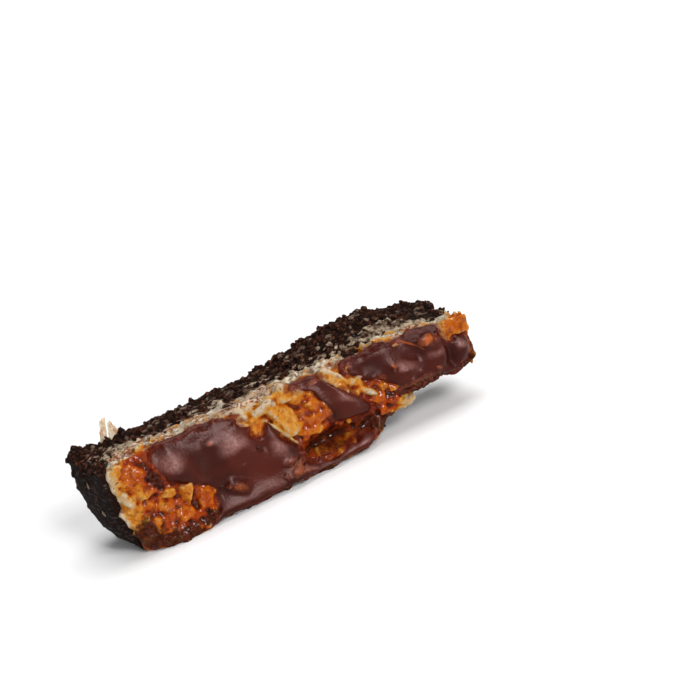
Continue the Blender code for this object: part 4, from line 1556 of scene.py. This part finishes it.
# %% The coconut's finish: the cut side
pith = mix(toast.within(0.28, 0.02), colour(118, 106, 90), colour(184, 175, 156))
pith = mix(grain(3.6).within(0.5, 0.7) * 0.4, pith, colour(166, 122, 80))
pith = mix(rise.within(0.0, -0.26) * 0.7, pith, colour(84, 54, 36))
pith = mix(reddened * 0.5, pith, colour(150, 96, 56))
grains = (grain(1.2, detail=4.0) + 0.14 * reddened).within(0.57, 0.62)
pith = mix(grains * 0.85, pith, colour(98, 40, 18))
pith = mix(rim * speckle, pith, colour(176, 110, 60))
flesh = mix(cut * toast.within(0.32, 0.16), flesh, pith)
print("nodes so far:", len(coconut_finish.tree.nodes))

# %% [markdown]
# Over both sides go the marks of baking and pouring: flecks in the cream, burnt specks, brown spots on the
# toasted chunks, the film and hem beside the chocolate, smears of it, and crumbs past the seam. Syrup makes
# the toasted places wet, but only in small glints, as broken sugar does.

# %% The coconut's finish: flecks, film, smears and gloss
fleck = grain(2.6, detail=4.0).within(0.57, 0.66) * toast.within(0.4, 0.2)
flesh = mix(fleck * 0.8, flesh, colour(104, 42, 16))
burnt = (0.22 * scorch + grain(0.8, detail=2.0)).within(0.76, 0.84)
flesh = mix(burnt * 0.85, flesh, colour(96, 34, 12))
spots = grain(1.7, detail=4.0).within(0.55, 0.63) * toast.within(0.3, 0.45)
flesh = mix(spots * 0.6 * poured_side, flesh, colour(84, 36, 16))
near_pool = (0.6 * film + grain(3.0, detail=4.0) - 0.5).within(0.35, 0.6)
flesh = mix(near_pool * 0.8 * poured_side, flesh, colour(92, 28, 12))
hem = (film + 0.4 * (speckle - 0.5)).within(0.25, 0.65) * (cut + rim).within(0.1, 0.6)
flesh = mix(hem * 0.75, flesh, colour(104, 44, 24))
stained = (smear + 0.9 * grain(1.8, detail=3.0) - 0.45 - 0.5 * rise).within(0.3, 0.62)
stained = stained * smear.within(0.05, 0.3)
smeared = mix(speckle.within(0.3, 0.7), colour(22, 8, 5), colour(60, 23, 14))
flesh = mix(stained * 0.92, flesh, smeared)
crumbs = mix(grain(1.2, detail=4.0), colour(24, 12, 9), colour(74, 40, 26))
flesh = mix(crumbed * 0.9, flesh, crumbs)
coconut_finish.feed("Base Color", flesh)
wet = toast.within(0.25, 0.6)
coconut_finish.feed("Roughness", 0.5 - 0.22 * wet + 0.2 * stained)
glossy = grain(0.7).within(0.50, 0.60)
coconut_finish.feed("Coat Weight", 0.7 * wet * glossy * (1.0 - 0.5 * stained))
fibre = grain(0.9, detail=5.0) + 0.3 * grain(0.25)
coconut_finish.feed("Normal", coconut_finish.bump(fibre * (1.0 - 0.5 * wet), 1.0, 0.8))
print("nodes in the coconut's finish:", len(coconut_finish.tree.nodes))

# %% [markdown]
# ## Brownie
#
# The brownie is almost black, matt in its pores and slightly moist on the crumbs, with specks of sugar where
# it is torn. Its raised crumbs are painted lighter, as painted highlight, and its crevices darker, as painted
# shade. Where it touched the tin it is smoother, with faint short grey streaks painted on as glints. Shreds of
# coconut that were baked into it are tan to grey-cream, and darker brown in their crevices.

# %% The brownie's finish
brownie_finish = Finish("brownie", Specular_IOR_Level=0.05, Specular_Tint=(1.0, 0.85, 0.75, 1.0))
grain, mix = brownie_finish.grain, brownie_finish.mix
inner, rise, crumbly = (brownie_finish.attribute(n) for n in ("coconut", "relief", "crumbly"))
from_tin = 1.0 - crumbly

dough = mix(grain(1.7, detail=4.0), colour(10, 5, 4), colour(31, 15, 10))
patches = grain(3.4, detail=3.0).within(0.48, 0.7) * crumbly
dough = mix(patches * 0.3, dough, colour(66, 38, 26))
# painted highlight: raised crumbs are painted a lighter brown
dough = mix(rise.within(0.1, 0.4) * 0.4 * crumbly, dough, colour(74, 40, 25))
sugar = grain(0.8, detail=4.0).within(0.58, 0.66) * crumbly
dough = mix(sugar * 0.8, dough, colour(104, 56, 32))
frost = grain(1.6, detail=4.0).within(0.62, 0.70) * crumbly
dough = mix(frost * 0.6, dough, colour(92, 88, 86))
tinned = grain(6.0, detail=4.0).within(0.45, 0.7) * from_tin
dough = mix(tinned * 0.6, dough, colour(40, 24, 17))
# painted shade: crevices are painted nearly black
dough = mix(rise.within(-0.02, -0.3) * 0.8, dough, colour(12, 6, 5))
# painted glints: faint short grey streaks on the sides that touched the tin stand in for reflections
streak_turn = {"Rotation": (0.9, 0.0, 0.0), "Scale": (900.0, 260.0, 1500.0)}
turned = brownie_finish.add("ShaderNodeMapping", {}, {"Vector": brownie_finish.place, **streak_turn})
streaks = brownie_finish.add("ShaderNodeTexNoise", {}, {"Vector": turned, "Scale": 1.0, "Detail": 2.0})
painted_glint = streaks.within(0.58, 0.66) * from_tin
dough = mix(painted_glint * 0.8, dough, colour(64, 62, 62))
shred = mix(inner.within(0.2, 1.0), colour(74, 56, 46), colour(158, 142, 120))
# the shreds are darker brown in their crevices
shred = mix(rise.within(0.0, -0.22) * 0.85, shred, colour(74, 42, 26))
dusted = grain(0.9, detail=3.0).within(0.42, 0.66)
dough = mix(inner.within(0.05, 0.4) * (1.0 - 0.8 * dusted), dough, shred)
brownie_finish.feed("Base Color", dough)
brownie_finish.feed("Roughness", 0.62 + 0.3 * grain(1.1) - 0.12 * rise.within(0.0, 0.3))
pores = grain(0.8, detail=4.0) + 0.5 * grain(0.3)
brownie_finish.feed("Normal", brownie_finish.bump(pores, 1.0, 0.8))
print("nodes in the brownie's finish:", len(brownie_finish.tree.nodes))

# %% [markdown]
# ## The slivers' finish
#
# A torn sheet of coconut flesh is clear at its edges and pale inside. Glass would be too clear, so light
# scattered beneath the surface does it, with fine veins and a few tan spots.

# %% Clear coconut
sliver_finish = Finish(
    "clear_coconut",
    Subsurface_Weight=0.6,
    Subsurface_Radius=(1.0, 0.9, 0.7),
    Subsurface_Scale=1.5 * MM,
    Roughness=0.35,
)
grain, mix = sliver_finish.grain, sliver_finish.mix
veins = grain(0.7, detail=4.0)
pith = mix(veins, colour(150, 130, 104), colour(206, 190, 166))
pith = mix(grain(1.6).within(0.54, 0.66) * 0.7, pith, colour(150, 92, 50))
sliver_finish.feed("Base Color", pith)
sliver_finish.feed("Normal", sliver_finish.bump(veins, 1.0, 0.5))
print("nodes in the slivers' finish:", len(sliver_finish.tree.nodes))

# %% [markdown]
# ## Putting the bar together
#
# Each dressed piece takes its material, rides on the bar's one body and stands for the solid it was made
# from. The slivers stand for no solid of their own, because the brownie's solid holds them.

# %% Materials, bodies and replaced solids
for piece, finish, slot, nodes in (
    (coconut_layer, coconut_finish, "toasted_coconut", ["coconut_layer"]),
    (brownie_piece, brownie_finish, "brownie", ["brownie_base"]),
    (pools[0], chocolate, "poured_chocolate", ["chocolate_pool_left"]),
    (pools[1], chocolate, "poured_chocolate", ["chocolate_pool_middle"]),
    (pools[2], chocolate, "poured_chocolate", ["chocolate_pool_right"]),
    (slivers[0], sliver_finish, "toasted_coconut", []),
    (slivers[1], sliver_finish, "toasted_coconut", []),
):
    piece.data.materials.clear()
    piece.data.materials.append(finish.material)
    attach(piece, "root")
    if nodes:
        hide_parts(*nodes)

# %% [markdown]
# ## The white sheet
#
# The bar lies on white paper that runs out of the picture on all sides, as in a product shot. One large
# square is enough, because the paper has no edge or curve in view. It is staging and no part of the bar.

# %% A sheet of paper
SHEET_HALF = 6.0  # in metres

paper_sheet = bmesh.new()
bmesh.ops.create_grid(paper_sheet, x_segments=1, y_segments=1, size=SHEET_HALF)
floor = object_of("white_sheet", paper_sheet)
paper = Finish("white_sheet", Roughness=0.9)
paper.shader.inputs["Base Color"].default_value = (0.78, 0.78, 0.78, 1.0)
floor.data.materials.append(paper.material)
print("sheet, m:", 2.0 * SHEET_HALF, "across")

# %% [markdown]
# ## The studio
#
# A large soft light stands above the bar. The room is bright near the floor and dim higher up, because a
# bright ceiling would turn all chocolate grey. A picture of a studio could light it too, but a fade from one
# grey to another needs no file.

# %% A room that is bright near the floor
FADE = {"From Min": 0.12, "From Max": 0.3, "To Min": 1.0, "To Max": 0.14}  # height of the way, strength

world = bpy.data.worlds.new("studio")
world.use_nodes = True
room = world.node_tree.nodes
room["Background"].inputs["Color"].default_value = (1.0, 1.0, 1.0, 1.0)
way = room.new("ShaderNodeTexCoord")
height = room.new("ShaderNodeSeparateXYZ")
fade = room.new("ShaderNodeMapRange")
for socket, value in FADE.items():
    fade.inputs[socket].default_value = value
world.node_tree.links.new(way.outputs["Generated"], height.inputs["Vector"])
world.node_tree.links.new(height.outputs["Z"], fade.inputs["Value"])
world.node_tree.links.new(fade.outputs["Result"], room["Background"].inputs["Strength"])
bpy.context.scene.world = world
print("room's strength from", FADE["To Max"], "to", FADE["To Min"])

# %% [markdown]
# Two panels in front give the chocolate its soft highlights, a weaker one lights the baked end, and one small
# lamp gives the syrup its glints. Each is a sun with a wide angle: area lamps would do as well, but a sun
# falls on all of the bar alike, whatever its size.

# %% The lights


def soft_light(name, way, strength, angle):
    """A soft source far away in the direction way, angle degrees across."""
    data = bpy.data.lights.new(name, "SUN")
    data.energy = strength
    data.angle = math.radians(angle)
    lamp = bpy.data.objects.new(name, data)
    lamp.rotation_mode = "QUATERNION"
    lamp.rotation_quaternion = Vector(way).to_track_quat("Z", "Y")
    bpy.context.scene.collection.objects.link(lamp)


LIGHTS = (  # name, way to the light, strength, degrees across
    ("overhead", (0.25, 0.05, 0.96), 2.4, 50.0),
    ("front_panel_low", (0.21, -0.95, 0.20), 1.9, 22.0),
    ("front_panel_high", (0.18, -0.81, 0.55), 1.9, 22.0),
    ("left_panel", (-0.42, -0.83, 0.36), 0.4, 20.0),
    ("small_lamp", (0.1, -0.85, 0.5), 0.3, 3.0),
)
for light in LIGHTS:
    soft_light(*light)
print("lights:", len(LIGHTS))

# %% [markdown]
# ## The camera
#
# The camera looks slightly down and from the baked end's side, and it is turned about its own axis so that
# the bar climbs across the frame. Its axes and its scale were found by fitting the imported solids' outline to
# the picture. It is aimed at the picture's middle, and the target, which lies at a known pixel, says where
# that is.

# %% A camera that sees the bar as the picture does
RIGHT = Vector((0.87812, -0.33650, -0.34010))
UP = Vector((0.41706, 0.19005, 0.88879))
BACK = Vector((-0.23445, -0.92231, 0.30722))
DISTANCE = 0.6  # in metres
PIXELS = 700.0  # across the picture, and down it
MM_PER_PIXEL = 1.0 / 3.69
TARGET = to_world(53.57, 12.56, 13.0)
TARGET_PIXEL = (282.1, 424.8)  # from the picture's left and top
SENSOR = 36.0

stand = TARGET + BACK * DISTANCE
from_target = RIGHT * (PIXELS / 2 - TARGET_PIXEL[0]) + UP * (TARGET_PIXEL[1] - PIXELS / 2)
middle = TARGET + from_target * MM_PER_PIXEL * MM
lens_data = bpy.data.cameras.new("camera")
camera = bpy.data.objects.new("camera", lens_data)
bpy.context.scene.collection.objects.link(camera)
back = (stand - middle).normalized()
right = UP.cross(back).normalized()
camera.rotation_mode = "QUATERNION"
camera.rotation_quaternion = Matrix((right, back.cross(right), back)).transposed().to_quaternion()
camera.location = stand
lens_data.sensor_width = SENSOR
lens_data.lens = SENSOR * (stand - middle).length / (PIXELS * MM_PER_PIXEL * MM)
lens_data.clip_start, lens_data.clip_end = 0.02, 20.0
bpy.context.scene.camera = camera
bpy.context.scene.view_settings.view_transform = "Standard"
print("lens", round(lens_data.lens, 1))
